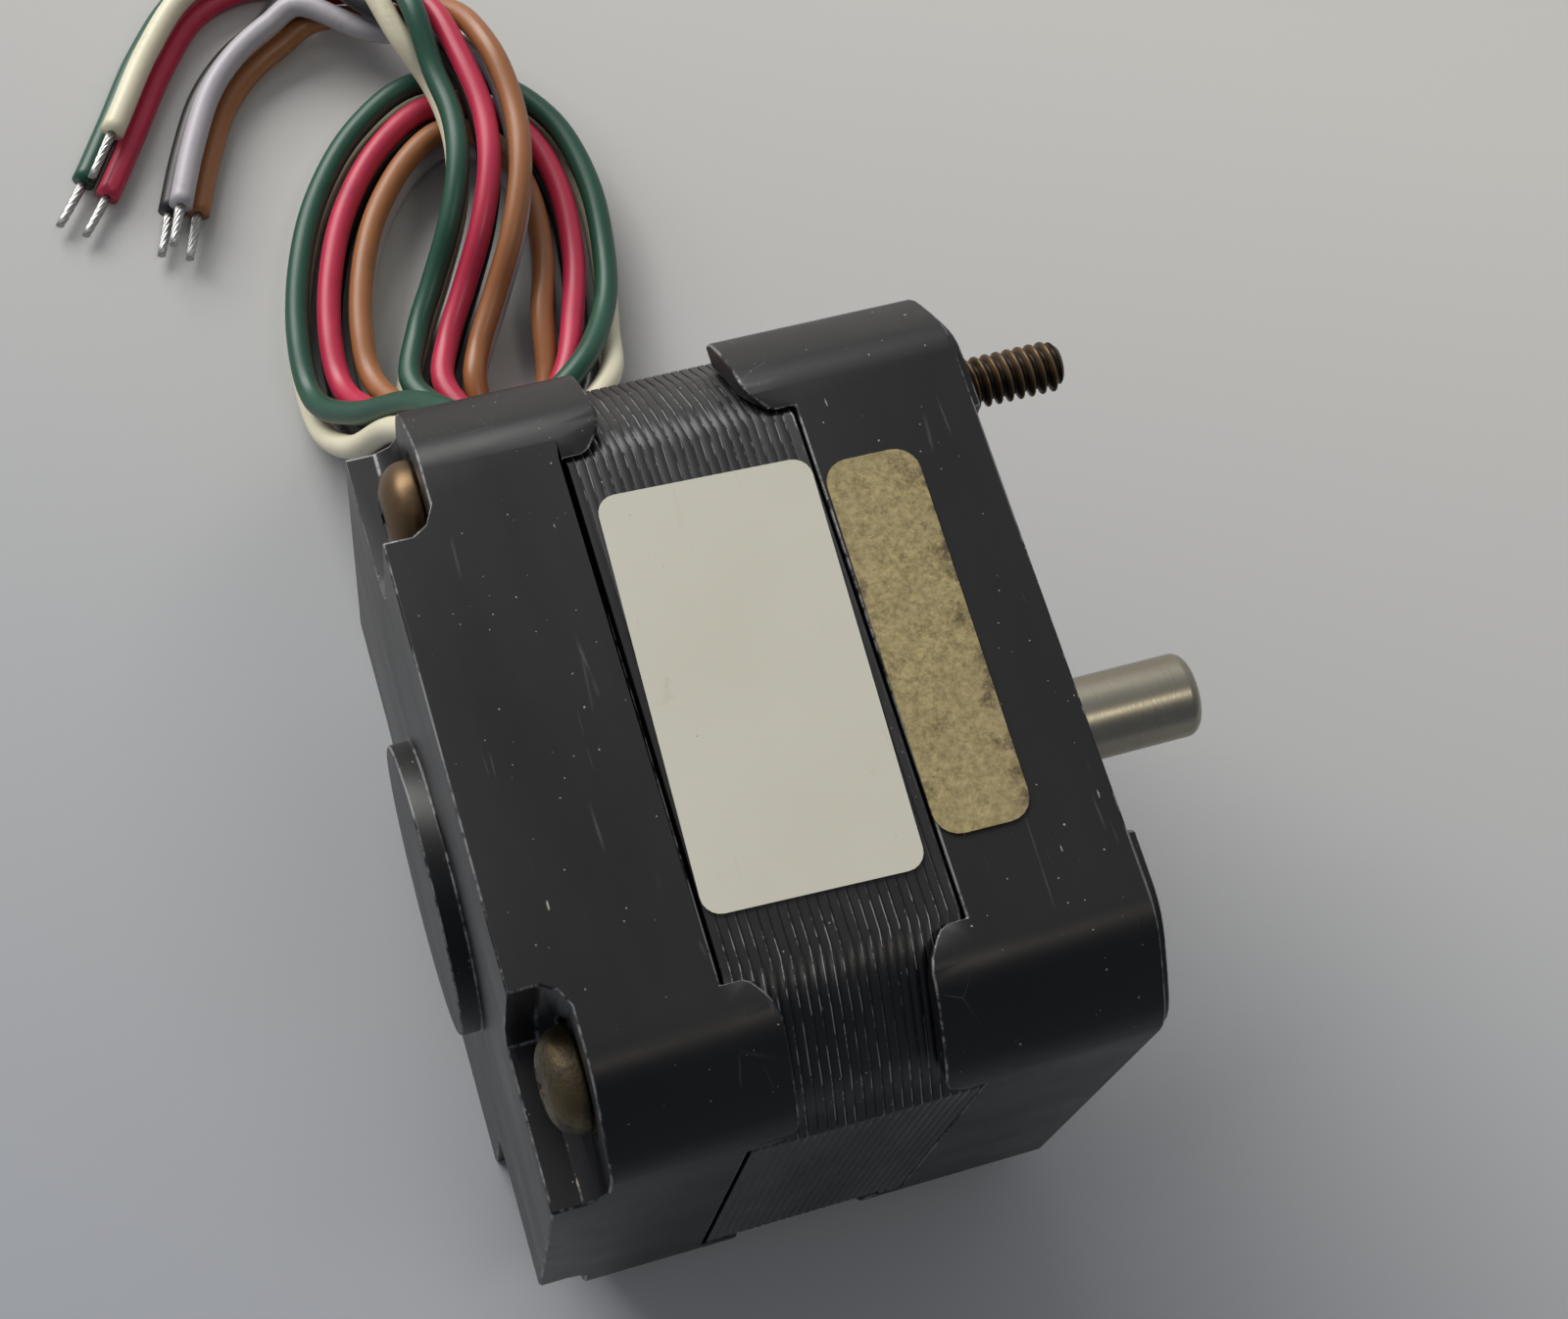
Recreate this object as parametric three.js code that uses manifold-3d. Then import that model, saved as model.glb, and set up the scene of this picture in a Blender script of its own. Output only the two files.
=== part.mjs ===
import * as THREE from 'three';
import { mergeVertices } from 'three/addons/utils/BufferGeometryUtils.js';
import Module from 'manifold-3d';

const wasm = await Module();
wasm.setup();

// Driving dimensions, millimetres. X runs along the shaft, measured from the rear plane of the rear bell.
const BODY_W = 42;
const REAR_LEN = 9.87;
const FRONT_LEN = 9.18;
const LAMINATIONS = 24;
const LAMINATION = 0.5;
const SEAM = 0.2;
const FIT = 0.3;
const BELL_CORNER = 4.55;
const STACK_CORNER = 7.4;
const EDGE_EASE = 1.2;
const BELL_WALL = 2.1;
const REAR_WALL = 4.4;
const FRONT_WALL = 3.45;
const TONGUE_LEN = 2.45;
const BOSS_D = 16.5;
const BOSS_H = 1.25;
const PILOT_D = 22;
const PILOT_H = 2;
const PAD_H = 0.45;
const PAD_INSET = 0.4;
const POCKET_W = 9.1;
const POCKET_DEPTH = 2.8;
const SHAFT_D = 5;
const SHAFT_OUT = 13.2;
const SCREW_D = 2.84;
const SCREW_PITCH = 0.635;
const SCREW_INSET = 5.5;
const LONG_SCREW_OUT = 7;
const SHORT_SCREW_BACK = 4.1;
const HEAD_D = 5.5;
const HEAD_H = 2;
const HEAD_CLEAR = 0.35;
const YOKE_WALL = 3.4;
const SLOT_DEPTH = 6.3;
const POLES = 8;
const POLE_W = 3.6;
const ROTOR_TEETH = 25;
const TOOTH_DEPTH = 0.7;
const MAGNET_LEN = 1.56;
const MAGNET_STEP = 2;
const COIL_GAP = 0.73;
const END_PLATE = 1;
const END_CLEAR = 1.5;
const BEARING_W = 4;
const RACE_WALL = 0.7;
const BALL_D = 1.9;
const REAR_BRG_X = 1.1;
const FRONT_BRG_BACK = 0.85;
const LEAD_D = 1.6;
const LEAD_GAP = 0.5;
const LABEL_MARGIN = 0.4;
const LABEL_LEN = 22.4;
const SMALL_LABEL_W = 5;
const SMALL_LABEL_LEN = 20.6;

// Values that follow from the driving dimensions.
const HALF = BODY_W / 2;
const STACK_LEN = LAMINATIONS * LAMINATION;
const R_STACK = Math.hypot(HALF, HALF - STACK_CORNER);
const STACK_X0 = REAR_LEN + SEAM;
const STACK_X1 = STACK_X0 + STACK_LEN;
const FRONT_X0 = STACK_X1 + SEAM;
const FRONT_X = FRONT_X0 + FRONT_LEN;
const SHAFT_END = FRONT_X + SHAFT_OUT;
const SHIFT_X = -(SHAFT_END - BOSS_H) / 2;
const S = HALF - SCREW_INSET;
const POCKET_EDGE = HALF - POCKET_W;
const CAVITY_R = HALF - BELL_WALL;
const SHAFT_R = SHAFT_D / 2;
const RACE_BORE = SHAFT_R + 0.2;
const RACE_IN = RACE_BORE + RACE_WALL;
const RACE_OUT = RACE_IN + BALL_D + 0.5;
const BEARING_R = RACE_OUT + RACE_WALL;
const POCKET_R = BEARING_R + 0.15;
const HUB_R = POCKET_R + 1.7;
const FRONT_BRG_X = FRONT_X - FRONT_BRG_BACK - BEARING_W;
const YOKE_R = HALF - YOKE_WALL;
const BORE_R = YOKE_R - SLOT_DEPTH;
const ROTOR_R = BORE_R - FIT;
const COIL_IN = BORE_R + 2.3;
const COIL_V = COIL_IN * Math.tan(Math.PI / POLES) - COIL_GAP;
const COIL_OUT = Math.sqrt((YOKE_R - FIT) ** 2 - COIL_V ** 2);
const END_ROOM = Math.min(REAR_LEN - REAR_WALL, FRONT_LEN - FRONT_WALL);
const END_TURN = END_ROOM - END_PLATE - FIT - END_CLEAR;
const LANE = LEAD_D + LEAD_GAP;
const LAYER = LEAD_D / 2 + 0.3;
const EXIT_X = REAR_LEN - FIT - LAYER - LEAD_D / 2;
const GROMMET_HALF = LANE + LEAD_D / 2 + 0.9;
const GROMMET_Y = HALF - 0.25;

const materials = {
  black_lacquer: { color: 0x2c2d30, roughness: 0.45, metalness: 0.3 },
  lamination: { color: 0x26272b, roughness: 0.4, metalness: 0.5 },
  ground_steel: { color: 0xb9b6ae, roughness: 0.25, metalness: 1 },
  rotor_steel: { color: 0x8d8c88, roughness: 0.4, metalness: 1 },
  magnet: { color: 0x55575a, roughness: 0.5, metalness: 0.7 },
  bearing_steel: { color: 0xa8a9aa, roughness: 0.25, metalness: 1 },
  zinc_yellow: { color: 0xb79a55, roughness: 0.4, metalness: 0.9 },
  bronze_steel: { color: 0x7a6444, roughness: 0.45, metalness: 0.9 },
  copper: { color: 0x9c5427, roughness: 0.35, metalness: 0.8 },
  nylon: { color: 0xcfc8b4, roughness: 0.55, metalness: 0 },
  grommet: { color: 0x1c1d1e, roughness: 0.6, metalness: 0 },
  paper_white: { color: 0xe9e4d2, roughness: 0.5, metalness: 0 },
  paper_tan: { color: 0xb09a68, roughness: 0.7, metalness: 0 },
  lead_green: { color: 0x1f4a38, roughness: 0.45, metalness: 0 },
  lead_red: { color: 0xa32a3f, roughness: 0.45, metalness: 0 },
  lead_brown: { color: 0x8a5430, roughness: 0.45, metalness: 0 },
  lead_cream: { color: 0xe6dcb8, roughness: 0.45, metalness: 0 },
  lead_black: { color: 0x242223, roughness: 0.45, metalness: 0 },
  lead_grey: { color: 0x9b939b, roughness: 0.45, metalness: 0 },
};

// Extrusions and turnings are built on their own axes and cycled onto X.
const Z_TO_X = new THREE.Matrix4().set(0, 0, 1, 0, 1, 0, 0, 0, 0, 1, 0, 0, 0, 0, 0, 1);
const Y_TO_X = new THREE.Matrix4().set(0, 1, 0, 0, 0, 0, 1, 0, 1, 0, 0, 0, 0, 0, 0, 1);

function solid(source) {
  const geometry = source.clone();
  geometry.deleteAttribute('normal');
  geometry.deleteAttribute('uv');
  const merged = mergeVertices(geometry, 1e-4);
  const index = merged.index.array;
  const triangles = [];
  for (let i = 0; i < index.length; i += 3) {
    const [a, b, c] = [index[i], index[i + 1], index[i + 2]];
    if (a !== b && b !== c && c !== a) triangles.push(a, b, c);
  }
  const mesh = new wasm.Mesh({
    numProp: 3,
    vertProperties: new Float32Array(merged.attributes.position.array),
    triVerts: new Uint32Array(triangles),
  });
  return new wasm.Manifold(mesh);
}

function toGeometry(body) {
  const mesh = body.getMesh();
  const positions = new Float32Array(mesh.triVerts.length * 3);
  for (let i = 0; i < mesh.triVerts.length; i += 1) {
    const v = mesh.triVerts[i] * mesh.numProp;
    positions.set(mesh.vertProperties.slice(v, v + 3), i * 3);
  }
  const geometry = new THREE.BufferGeometry();
  geometry.setAttribute('position', new THREE.BufferAttribute(positions, 3));
  geometry.computeVertexNormals();
  return geometry;
}

// A prism along X. Points are [y, height above the shaft axis].
function prism(points, x0, x1) {
  const shape = new THREE.Shape(points.map(([y, z]) => new THREE.Vector2(y, z)));
  const geometry = new THREE.ExtrudeGeometry(shape, { depth: x1 - x0, bevelEnabled: false, steps: 1 });
  geometry.applyMatrix4(Z_TO_X).translate(x0, 0, 0);
  return solid(geometry);
}

// A prism along Z. Points are [x, y].
function plate(points, z0, z1) {
  const shape = new THREE.Shape(points.map(([x, y]) => new THREE.Vector2(x, y)));
  const geometry = new THREE.ExtrudeGeometry(shape, { depth: z1 - z0, bevelEnabled: false, steps: 1 });
  return solid(geometry.translate(0, 0, z0));
}

// A turned piece on the shaft axis. Profile points are [x, radius], closed on the axis or on itself.
function turned(profile, segments) {
  const points = profile.map(([x, r]) => new THREE.Vector2(r, x));
  const onAxis = profile[0][1] === 0 && profile[profile.length - 1][1] === 0;
  if (!onAxis) points.push(points[0].clone());
  const geometry = new THREE.LatheGeometry(points, segments);
  const body = solid(geometry.applyMatrix4(Y_TO_X));
  if (body.volume() > 0) return body;
  return solid(flipped(geometry));
}

function flipped(geometry) {
  const index = geometry.index.array;
  for (let i = 0; i < index.length; i += 3) {
    [index[i], index[i + 1]] = [index[i + 1], index[i]];
  }
  return geometry;
}

function rod(x0, x1, r, y, z, segments) {
  return turned([[x0, 0], [x0, r], [x1, r], [x1, 0]], segments).translate([0, y, z]);
}

function tube(x0, x1, rIn, rOut, segments) {
  return turned([[x0, rIn], [x0, rOut], [x1, rOut], [x1, rIn]], segments);
}

function block(x0, x1, y0, y1, z0, z1) {
  const geometry = new THREE.BoxGeometry(x1 - x0, y1 - y0, z1 - z0);
  return solid(geometry.translate((x0 + x1) / 2, (y0 + y1) / 2, (z0 + z1) / 2));
}

function polar(r, degrees) {
  const a = THREE.MathUtils.degToRad(degrees);
  return [r * Math.cos(a), r * Math.sin(a)];
}

function bend(a, b, c, steps) {
  const points = [];
  for (let i = 0; i <= steps; i += 1) {
    const t = i / steps;
    const [p, q, r] = [(1 - t) * (1 - t), 2 * t * (1 - t), t * t];
    points.push([p * a[0] + q * b[0] + r * c[0], p * a[1] + q * b[1] + r * c[1]]);
  }
  return points;
}

// Square section whose corners are turned down on the shaft axis, each edge eased by a short bend.
function section(inset, corner, ease, arcSteps) {
  const side = HALF - inset;
  const flat = HALF - corner - inset;
  const radius = Math.hypot(side, flat);
  const meet = THREE.MathUtils.radToDeg(Math.atan2(flat, side));
  const slip = THREE.MathUtils.radToDeg(ease / radius);
  const eased = () => bend([side, flat - ease], [side, flat], polar(radius, meet + slip), 3);
  const start = ease > 0 ? eased() : [[side, flat]];
  const quarter = [...start];
  for (let i = 1; i < arcSteps; i += 1) {
    quarter.push(polar(radius, meet + slip + ((90 - 2 * meet - 2 * slip) * i) / arcSteps));
  }
  quarter.push(...start.map(([a, b]) => [b, a]).reverse());
  const points = [];
  for (let k = 0; k < 4; k += 1) {
    for (const [a, b] of quarter) {
      const turn = THREE.MathUtils.radToDeg(Math.atan2(b, a)) + 90 * k;
      points.push(polar(Math.hypot(a, b), turn));
    }
  }
  return points;
}

const CORNERS = [[1, 1], [-1, 1], [-1, -1], [1, -1]];

// Four corner tongues that reach over the turned-down corners of the stack, with rounded sides.
function tongues(from, to) {
  const path = [[0, 0.1], [0.35, 0.35], [0.6, 0.75], [0.8, 1.4], [0.93, 2], [1.02, 2.9]];
  const side = path.map(([t, w]) => [from + (to - from) * t, HALF - STACK_CORNER + w]);
  const window = [...side, ...side.map(([x, y]) => [x, -y]).reverse()];
  const [x0, x1] = [Math.min(from, to), Math.max(from, to)];
  let ring = prism(section(0, BELL_CORNER, EDGE_EASE, 3), x0, x1);
  ring = ring.subtract(rod(x0 - 1, x1 + 1, R_STACK + FIT, 0, 0, 56));
  const cutter = plate(window, R_STACK * 0.6, HALF + 2);
  for (let i = 0; i < 4; i += 1) ring = ring.subtract(cutter.rotate([90 * i, 0, 0]));
  return ring;
}

// Pocket that steps one rear corner forward so a screw head sits inside the envelope.
function pocket() {
  const e = POCKET_EDGE;
  const far = HALF + 3;
  const vertices = [];
  const rim = (x, d) => {
    const f = e + d;
    const outline = [[f, f + 2], [f + 0.6, f + 0.6], [f + 2, f], [far, f], [far, far], [f, far]];
    for (const [y, z] of outline) vertices.push([x, y, z]);
  };
  rim(-2, 0);
  rim(POCKET_DEPTH - 1.2, 0);
  rim(POCKET_DEPTH - 0.4, 0.5);
  rim(POCKET_DEPTH, 1.3);
  return wasm.Manifold.hull(vertices);
}

function rearBell() {
  let body = prism(section(0, BELL_CORNER, EDGE_EASE, 3), 0, REAR_LEN);
  body = body.add(rod(-BOSS_H, 1, BOSS_D / 2, 0, 0, 48));
  body = body.add(tongues(REAR_LEN - 0.01, REAR_LEN + TONGUE_LEN));
  body = body.subtract(rod(REAR_WALL, REAR_LEN + 1, CAVITY_R, 0, 0, 40));
  body = body.add(rod(REAR_WALL - 0.5, REAR_BRG_X + BEARING_W + FIT, HUB_R, 0, 0, 32));
  body = body.subtract(rod(1 - BOSS_H, REAR_LEN, POCKET_R, 0, 0, 32));
  for (const [a, b] of CORNERS) {
    body = body.subtract(pocket().scale([1, a, b]));
    body = body.subtract(rod(1, POCKET_DEPTH + 0.3, HEAD_D / 2 + HEAD_CLEAR, a * S, b * S, 24));
    body = body.subtract(rod(1, REAR_LEN + 1, SCREW_D / 2 + FIT, a * S, b * S, 16));
  }
  const half = GROMMET_HALF + FIT;
  const slotX = EXIT_X - LAYER - LEAD_D / 2 - FIT;
  return body.subtract(block(slotX, REAR_LEN + 1, CAVITY_R - 1, HALF + 1, -half, half));
}

function frontBell() {
  const wallX = FRONT_X - FRONT_WALL;
  let body = prism(section(0, BELL_CORNER, EDGE_EASE, 3), FRONT_X0, FRONT_X);
  body = body.add(tongues(FRONT_X0 + 0.01, FRONT_X0 - TONGUE_LEN));
  body = body.subtract(rod(FRONT_X0 - 1, wallX, CAVITY_R, 0, 0, 40));
  body = body.add(rod(Math.min(FRONT_BRG_X - FIT, wallX), wallX + 0.5, HUB_R, 0, 0, 32));
  body = body.add(rod(FRONT_X - 1, FRONT_X + PILOT_H, PILOT_D / 2, 0, 0, 48));
  body = body.subtract(rod(FRONT_X0, FRONT_BRG_X + BEARING_W + FIT, POCKET_R, 0, 0, 32));
  body = body.subtract(rod(FRONT_X - 2, FRONT_X + PILOT_H + 1, SHAFT_R + 0.5, 0, 0, 32));
  const pads = prism(section(PAD_INSET, BELL_CORNER, EDGE_EASE, 3), FRONT_X - 0.2, FRONT_X + PAD_H);
  for (const [a, b] of CORNERS) {
    const corner = block(FRONT_X - 1, FRONT_X + 1, POCKET_EDGE, HALF, POCKET_EDGE, HALF);
    body = body.add(pads.intersect(corner.scale([1, a, b])));
    body = body.subtract(rod(FRONT_X0 - 3, FRONT_X + 2, SCREW_D / 2 + FIT, a * S, b * S, 16));
  }
  return body;
}

// Skin of the stack: an outline repeated at [x, scale] stations and closed by a fan at each end.
function loft(outline, stations) {
  const n = outline.length;
  const last = stations.length - 1;
  const positions = [];
  for (const [x, k] of stations) {
    for (const [y, z] of outline) positions.push(x, y * k, z * k);
  }
  positions.push(stations[0][0], 0, 0, stations[last][0], 0, 0);
  const centre = stations.length * n;
  const index = [];
  for (let i = 0; i < n; i += 1) {
    const j = (i + 1) % n;
    for (let s = 0; s < last * n; s += n) {
      index.push(s + i, s + j, s + n + j, s + i, s + n + j, s + n + i);
    }
    index.push(centre, j, i, centre + 1, last * n + i, last * n + j);
  }
  const geometry = new THREE.BufferGeometry();
  geometry.setAttribute('position', new THREE.Float32BufferAttribute(positions, 3));
  geometry.setIndex(index);
  return solid(geometry);
}

// The lacquered stack, with a fine groove at every joint between laminations.
function statorStack() {
  const groove = 0.05;
  const stations = [[STACK_X0, 1]];
  for (let i = 1; i < LAMINATIONS; i += 1) {
    const x = STACK_X0 + LAMINATION * i;
    stations.push([x - groove, 1], [x, 1 - 0.1 / HALF], [x + groove, 1]);
  }
  stations.push([STACK_X1, 1]);
  let body = loft(section(0, STACK_CORNER, 0, 3), stations);
  body = body.subtract(prism(slotOutline(), STACK_X0 - 1, STACK_X1 + 1));
  for (const [a, b] of CORNERS) {
    body = body.subtract(rod(STACK_X0 - 1, STACK_X1 + 1, SCREW_D / 2 + FIT, a * S, b * S, 16));
  }
  return body;
}

// Bore, pole teeth and winding slots of one lamination.
function slotOutline() {
  const points = [];
  const pitch = 360 / POLES;
  const tooth = 360 / ROTOR_TEETH;
  const angle = (r) => THREE.MathUtils.radToDeg(Math.asin(POLE_W / 2 / r));
  const neck = BORE_R + 1.7;
  const root = BORE_R + TOOTH_DEPTH;
  const edge = tooth * 1.2;
  const pole = [[YOKE_R, pitch * 0.36], [YOKE_R, angle(YOKE_R)], [neck, angle(neck)], [BORE_R + 1.3, edge]];
  const face = [[BORE_R, edge], [BORE_R, tooth * 0.8], [root, tooth * 0.78], [root, tooth * 0.22]];
  const run = [...pole, ...face, [BORE_R, tooth * 0.2]];
  for (let k = 0; k < POLES; k += 1) {
    const c = k * pitch;
    for (const [r, a] of run) points.push(polar(r, c - a));
    for (const [r, a] of run.slice().reverse()) points.push(polar(r, c + a));
    points.push(polar(YOKE_R, c + pitch / 2));
  }
  return points;
}

// One winding: a rounded ring about a pole, built along its radius and turned to its place.
function coil(angle) {
  const innerV = POLE_W / 2 + 0.4;
  const x0 = STACK_X0 - SEAM - END_PLATE - FIT;
  const x1 = STACK_X1 + SEAM + END_PLATE + FIT;
  const round = Math.min(END_TURN, COIL_V - innerV) * 0.9;
  const outer = roundedRing(x0 - END_TURN, x1 + END_TURN, -COIL_V, COIL_V, round, 4);
  const inner = roundedRing(x0, x1, -innerV, innerV, 0.6, 2);
  const body = plate(outer, COIL_IN, COIL_OUT).subtract(plate(inner, COIL_IN - 1, COIL_OUT + 1));
  return body.rotate([angle, 0, 0]);
}

function roundedRing(x0, x1, y0, y1, r, steps) {
  const points = [];
  const centres = [[x1 - r, y1 - r], [x0 + r, y1 - r], [x0 + r, y0 + r], [x1 - r, y0 + r]];
  centres.forEach(([cx, cy], quadrant) => {
    for (let i = 0; i <= steps; i += 1) {
      const [dx, dy] = polar(r, 90 * quadrant + (90 * i) / steps);
      points.push([cx + dx, cy + dy]);
    }
  });
  return points;
}

// End plate of the winding: outer wall, one arm over each pole and a lip inside each coil.
function insulator(face, sign) {
  const span = (depth) => [face + sign * SEAM, face + sign * (SEAM + depth)].sort((a, b) => a - b);
  const [w0, w1] = span(END_PLATE + FIT + END_TURN * 0.8);
  const [p0, p1] = span(END_PLATE);
  const [l0, l1] = span(END_PLATE + FIT + END_TURN * 0.4);
  const wallR = CAVITY_R - FIT;
  const arm = POLE_W / 2 - 0.1;
  let body = tube(w0, w1, wallR - 0.85, wallR, 40);
  for (let k = 0; k < POLES; k += 1) {
    const turn = [(360 / POLES) * k, 0, 0];
    body = body.add(block(p0, p1, -arm, arm, BORE_R + 1.1, wallR - 0.5).rotate(turn));
    body = body.add(block(l0, l1, -POLE_W * 0.8, POLE_W * 0.8, BORE_R + 1, BORE_R + 1.9).rotate(turn));
  }
  return body;
}

// Half of the rotor: a steel cup with square teeth, the second half turned by half a tooth.
function rotorCup(x0, x1, phase) {
  const points = [];
  const tooth = 360 / ROTOR_TEETH;
  const root = ROTOR_R - TOOTH_DEPTH;
  for (let k = 0; k < ROTOR_TEETH; k += 1) {
    const c = (k + phase) * tooth;
    points.push(polar(root, c - tooth * 0.26), polar(ROTOR_R, c - tooth * 0.22));
    points.push(polar(ROTOR_R, c + tooth * 0.22), polar(root, c + tooth * 0.26));
  }
  return prism(points, x0, x1).subtract(rod(x0 - 1, x1 + 1, SHAFT_R + FIT, 0, 0, 24));
}

function shaft() {
  const profile = [[REAR_BRG_X - 0.6, 0], [REAR_BRG_X - 0.6, SHAFT_R - 0.5], [REAR_BRG_X - 0.1, SHAFT_R]];
  profile.push([SHAFT_END - 0.7, SHAFT_R], [SHAFT_END - 0.25, SHAFT_R - 0.2], [SHAFT_END, SHAFT_R - 0.6]);
  return turned([...profile, [SHAFT_END, 0]], 40);
}

function bearingOuter(x0) {
  const x1 = x0 + BEARING_W;
  const lip = RACE_IN + 0.35;
  const profile = [[x0, lip], [x0, BEARING_R], [x1, BEARING_R], [x1, lip], [x1 - 0.25, lip]];
  return turned([...profile, [x1 - 0.25, RACE_OUT], [x0 + 0.25, RACE_OUT], [x0 + 0.25, lip]], 28);
}

function ballCage(x0) {
  const middle = x0 + BEARING_W / 2;
  const pitchR = (RACE_IN + RACE_OUT) / 2;
  let body = tube(middle - 0.6, middle + 0.6, pitchR - 0.35, pitchR + 0.35, 28);
  const ball = solid(new THREE.SphereGeometry(BALL_D / 2, 8, 4));
  for (let k = 0; k < 7; k += 1) {
    const [y, z] = polar(pitchR, (360 / 7) * k);
    body = body.add(ball.translate([middle, y, z]));
  }
  return body;
}

// Wave spring behind the rear bearing.
function waveWasher() {
  const x0 = REAR_BRG_X - 0.75;
  const ring = tube(x0, x0 + 0.25, RACE_OUT - 0.9, POCKET_R - FIT, 30);
  return ring.warp((v) => {
    v[0] += 0.17 * Math.cos(3 * Math.atan2(v[2], v[1]));
  });
}

// Threaded rod: vertices follow the helix, then the ends are trimmed square with a lead-in.
function threadedRod(x0, x1) {
  const around = 16;
  const rows = (Math.ceil((x1 - x0) / SCREW_PITCH) + 4) * 2;
  const positions = [];
  for (let k = 0; k <= rows; k += 1) {
    const r = k % 2 ? SCREW_D / 2 : SCREW_D / 2 - SCREW_PITCH * 0.6;
    for (let i = 0; i < around; i += 1) {
      positions.push(x0 + SCREW_PITCH * (k / 2 + i / around - 2), ...polar(r, (360 * i) / around));
    }
  }
  const at = (k, i) => (i < around ? k * around + i : (k + 2) * around);
  const index = [];
  for (let k = 0; k < rows - 2; k += 1) {
    for (let i = 0; i < around; i += 1) {
      index.push(at(k, i), at(k, i + 1), at(k + 1, i + 1), at(k, i), at(k + 1, i + 1), at(k + 1, i));
    }
  }
  const tip = positions.length / 3;
  positions.push(x0 - SCREW_PITCH * 6, 0, 0, x1 + SCREW_PITCH * 6, 0, 0);
  for (const [row, apex] of [[0, tip], [rows - 2, tip + 1]]) {
    const loop = [...Array(around).keys()].map((i) => at(row, i));
    loop.push(at(row + 2, 0), at(row + 1, 0));
    loop.forEach((v, i) => {
      const next = loop[(i + 1) % loop.length];
      index.push(...(row ? [apex, v, next] : [apex, next, v]));
    });
  }
  const geometry = new THREE.BufferGeometry();
  geometry.setAttribute('position', new THREE.Float32BufferAttribute(positions, 3));
  geometry.setIndex(index);
  const r = SCREW_D / 2;
  const envelope = [[x0, 0], [x0, r + 0.1], [x1 - 0.5, r + 0.1], [x1, r - 0.45], [x1, 0]];
  return solid(geometry).intersect(turned(envelope, 24));
}

// Pan-head assembly screw with a cross recess, its head under the rear plane.
function screw(a, b, end, threaded) {
  const seat = POCKET_DEPTH;
  const top = seat - HEAD_H;
  const r = HEAD_D / 2;
  const dome = [[top, 0], [top, r * 0.6], [top + 0.2, r * 0.82], [top + 0.65, r * 0.97], [top + 1.1, r]];
  const shank = SCREW_D / 2 - 0.2;
  let body = turned([...dome, [seat - 0.01, r], [seat - 0.01, 0]], 24);
  const run = threaded ? end - LONG_SCREW_OUT - 1 : end;
  body = body.add(rod(seat - 0.5, run + 0.2, shank, 0, 0, 16));
  if (threaded) body = body.add(threadedRod(run, end));
  const bar = block(top - 1, top + 0.9, -1.3, 1.3, -0.32, 0.32);
  return body.subtract(bar).subtract(bar.rotate([90, 0, 0])).translate([0, a * S, b * S]);
}

// Strain relief in the side of the rear bell, with a blind hole for each lead.
function grommet() {
  const half = GROMMET_HALF;
  const x0 = EXIT_X - LAYER - LEAD_D / 2;
  let body = block(x0, REAR_LEN - FIT, CAVITY_R + 0.05, GROMMET_Y, -half, half);
  for (const { lane, layer } of LEADS) {
    const hole = rod(-1, 1, LEAD_D / 2 + 0.12, 0, 0, 10).rotate([0, 0, 90]);
    body = body.subtract(hole.translate([EXIT_X + layer * LAYER, GROMMET_Y, lane * LANE]));
  }
  return body;
}

function label(cx, cy, w, h, r, turn) {
  const outline = roundedRing(-w / 2, w / 2, -h / 2, h / 2, r, 5);
  return plate(outline, HALF + 0.05, HALF + 0.17).rotate([0, 0, turn]).translate([cx, cy, 0]);
}

// The six leads run as one bundle of three lanes in two layers, then part into two tails.
const LEADS = [
  { name: 'lead_green', lane: 1, layer: 1, tail: 'left', tailLane: 0.95, tailLayer: -0.8, trim: 0 },
  { name: 'lead_cream', lane: 1, layer: -1, tail: 'left', tailLane: 0, tailLayer: 0.85, trim: 1 },
  { name: 'lead_red', lane: 0, layer: 1, tail: 'left', tailLane: -0.95, tailLayer: -0.8, trim: 0 },
  { name: 'lead_black', lane: 0, layer: -1, tail: 'right', tailLane: 0.95, tailLayer: -0.8, trim: 0 },
  { name: 'lead_brown', lane: -1, layer: 1, tail: 'right', tailLane: -0.95, tailLayer: -0.8, trim: 0 },
  { name: 'lead_grey', lane: -1, layer: -1, tail: 'right', tailLane: 0, tailLayer: 0.85, trim: 0 },
];

// Centre of the bundle as [x, distance from the body side, height, turn of the bundle in degrees].
const BUNDLE = [
  [EXIT_X, 0.05, HALF, 90],
  [EXIT_X - 0.1, 4, HALF * 0.95, 90],
  [6.6, 9, HALF * 0.66, 70],
  [4.8, 13.4, 6.8, 35],
  [3.3, 18, 2.6, 5],
  [3.4, 23, 1.98, 0],
  [4.7, 28, 1.98, 0],
  [6.8, 32.4, 1.98, 0],
  [10, 36.3, 1.98, 0],
  [13.8, 38.6, 1.98, 0],
  [17.6, 37.9, 1.98, 0],
  [20.2, 34.9, 1.98, 0],
  [21.2, 30.4, 1.98, 0],
  [20.8, 25.2, 1.98, 0],
  [19.7, 20.6, 2.3, 10],
  [18.4, 15.6, 3.2, 60],
  [14.6, 12.2, 3.4, 90],
  [10.6, 13.6, 3.3, 60],
  [9.6, 17.4, 2.4, 10],
  [11, 21, 2.1, 0],
  [13, 24.2, 3.2, 0],
  [15, 27.4, 5.3, 0],
  [16.4, 31, 6.3, 0],
  [17, 35, 6.3, 0],
  [16.6, 39.4, 6.3, 0],
  [15, 43.5, 6.2, 45],
  [12.4, 47, 5.1, 110],
  [9.2, 49.9, 3.2, 165],
];
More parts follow.
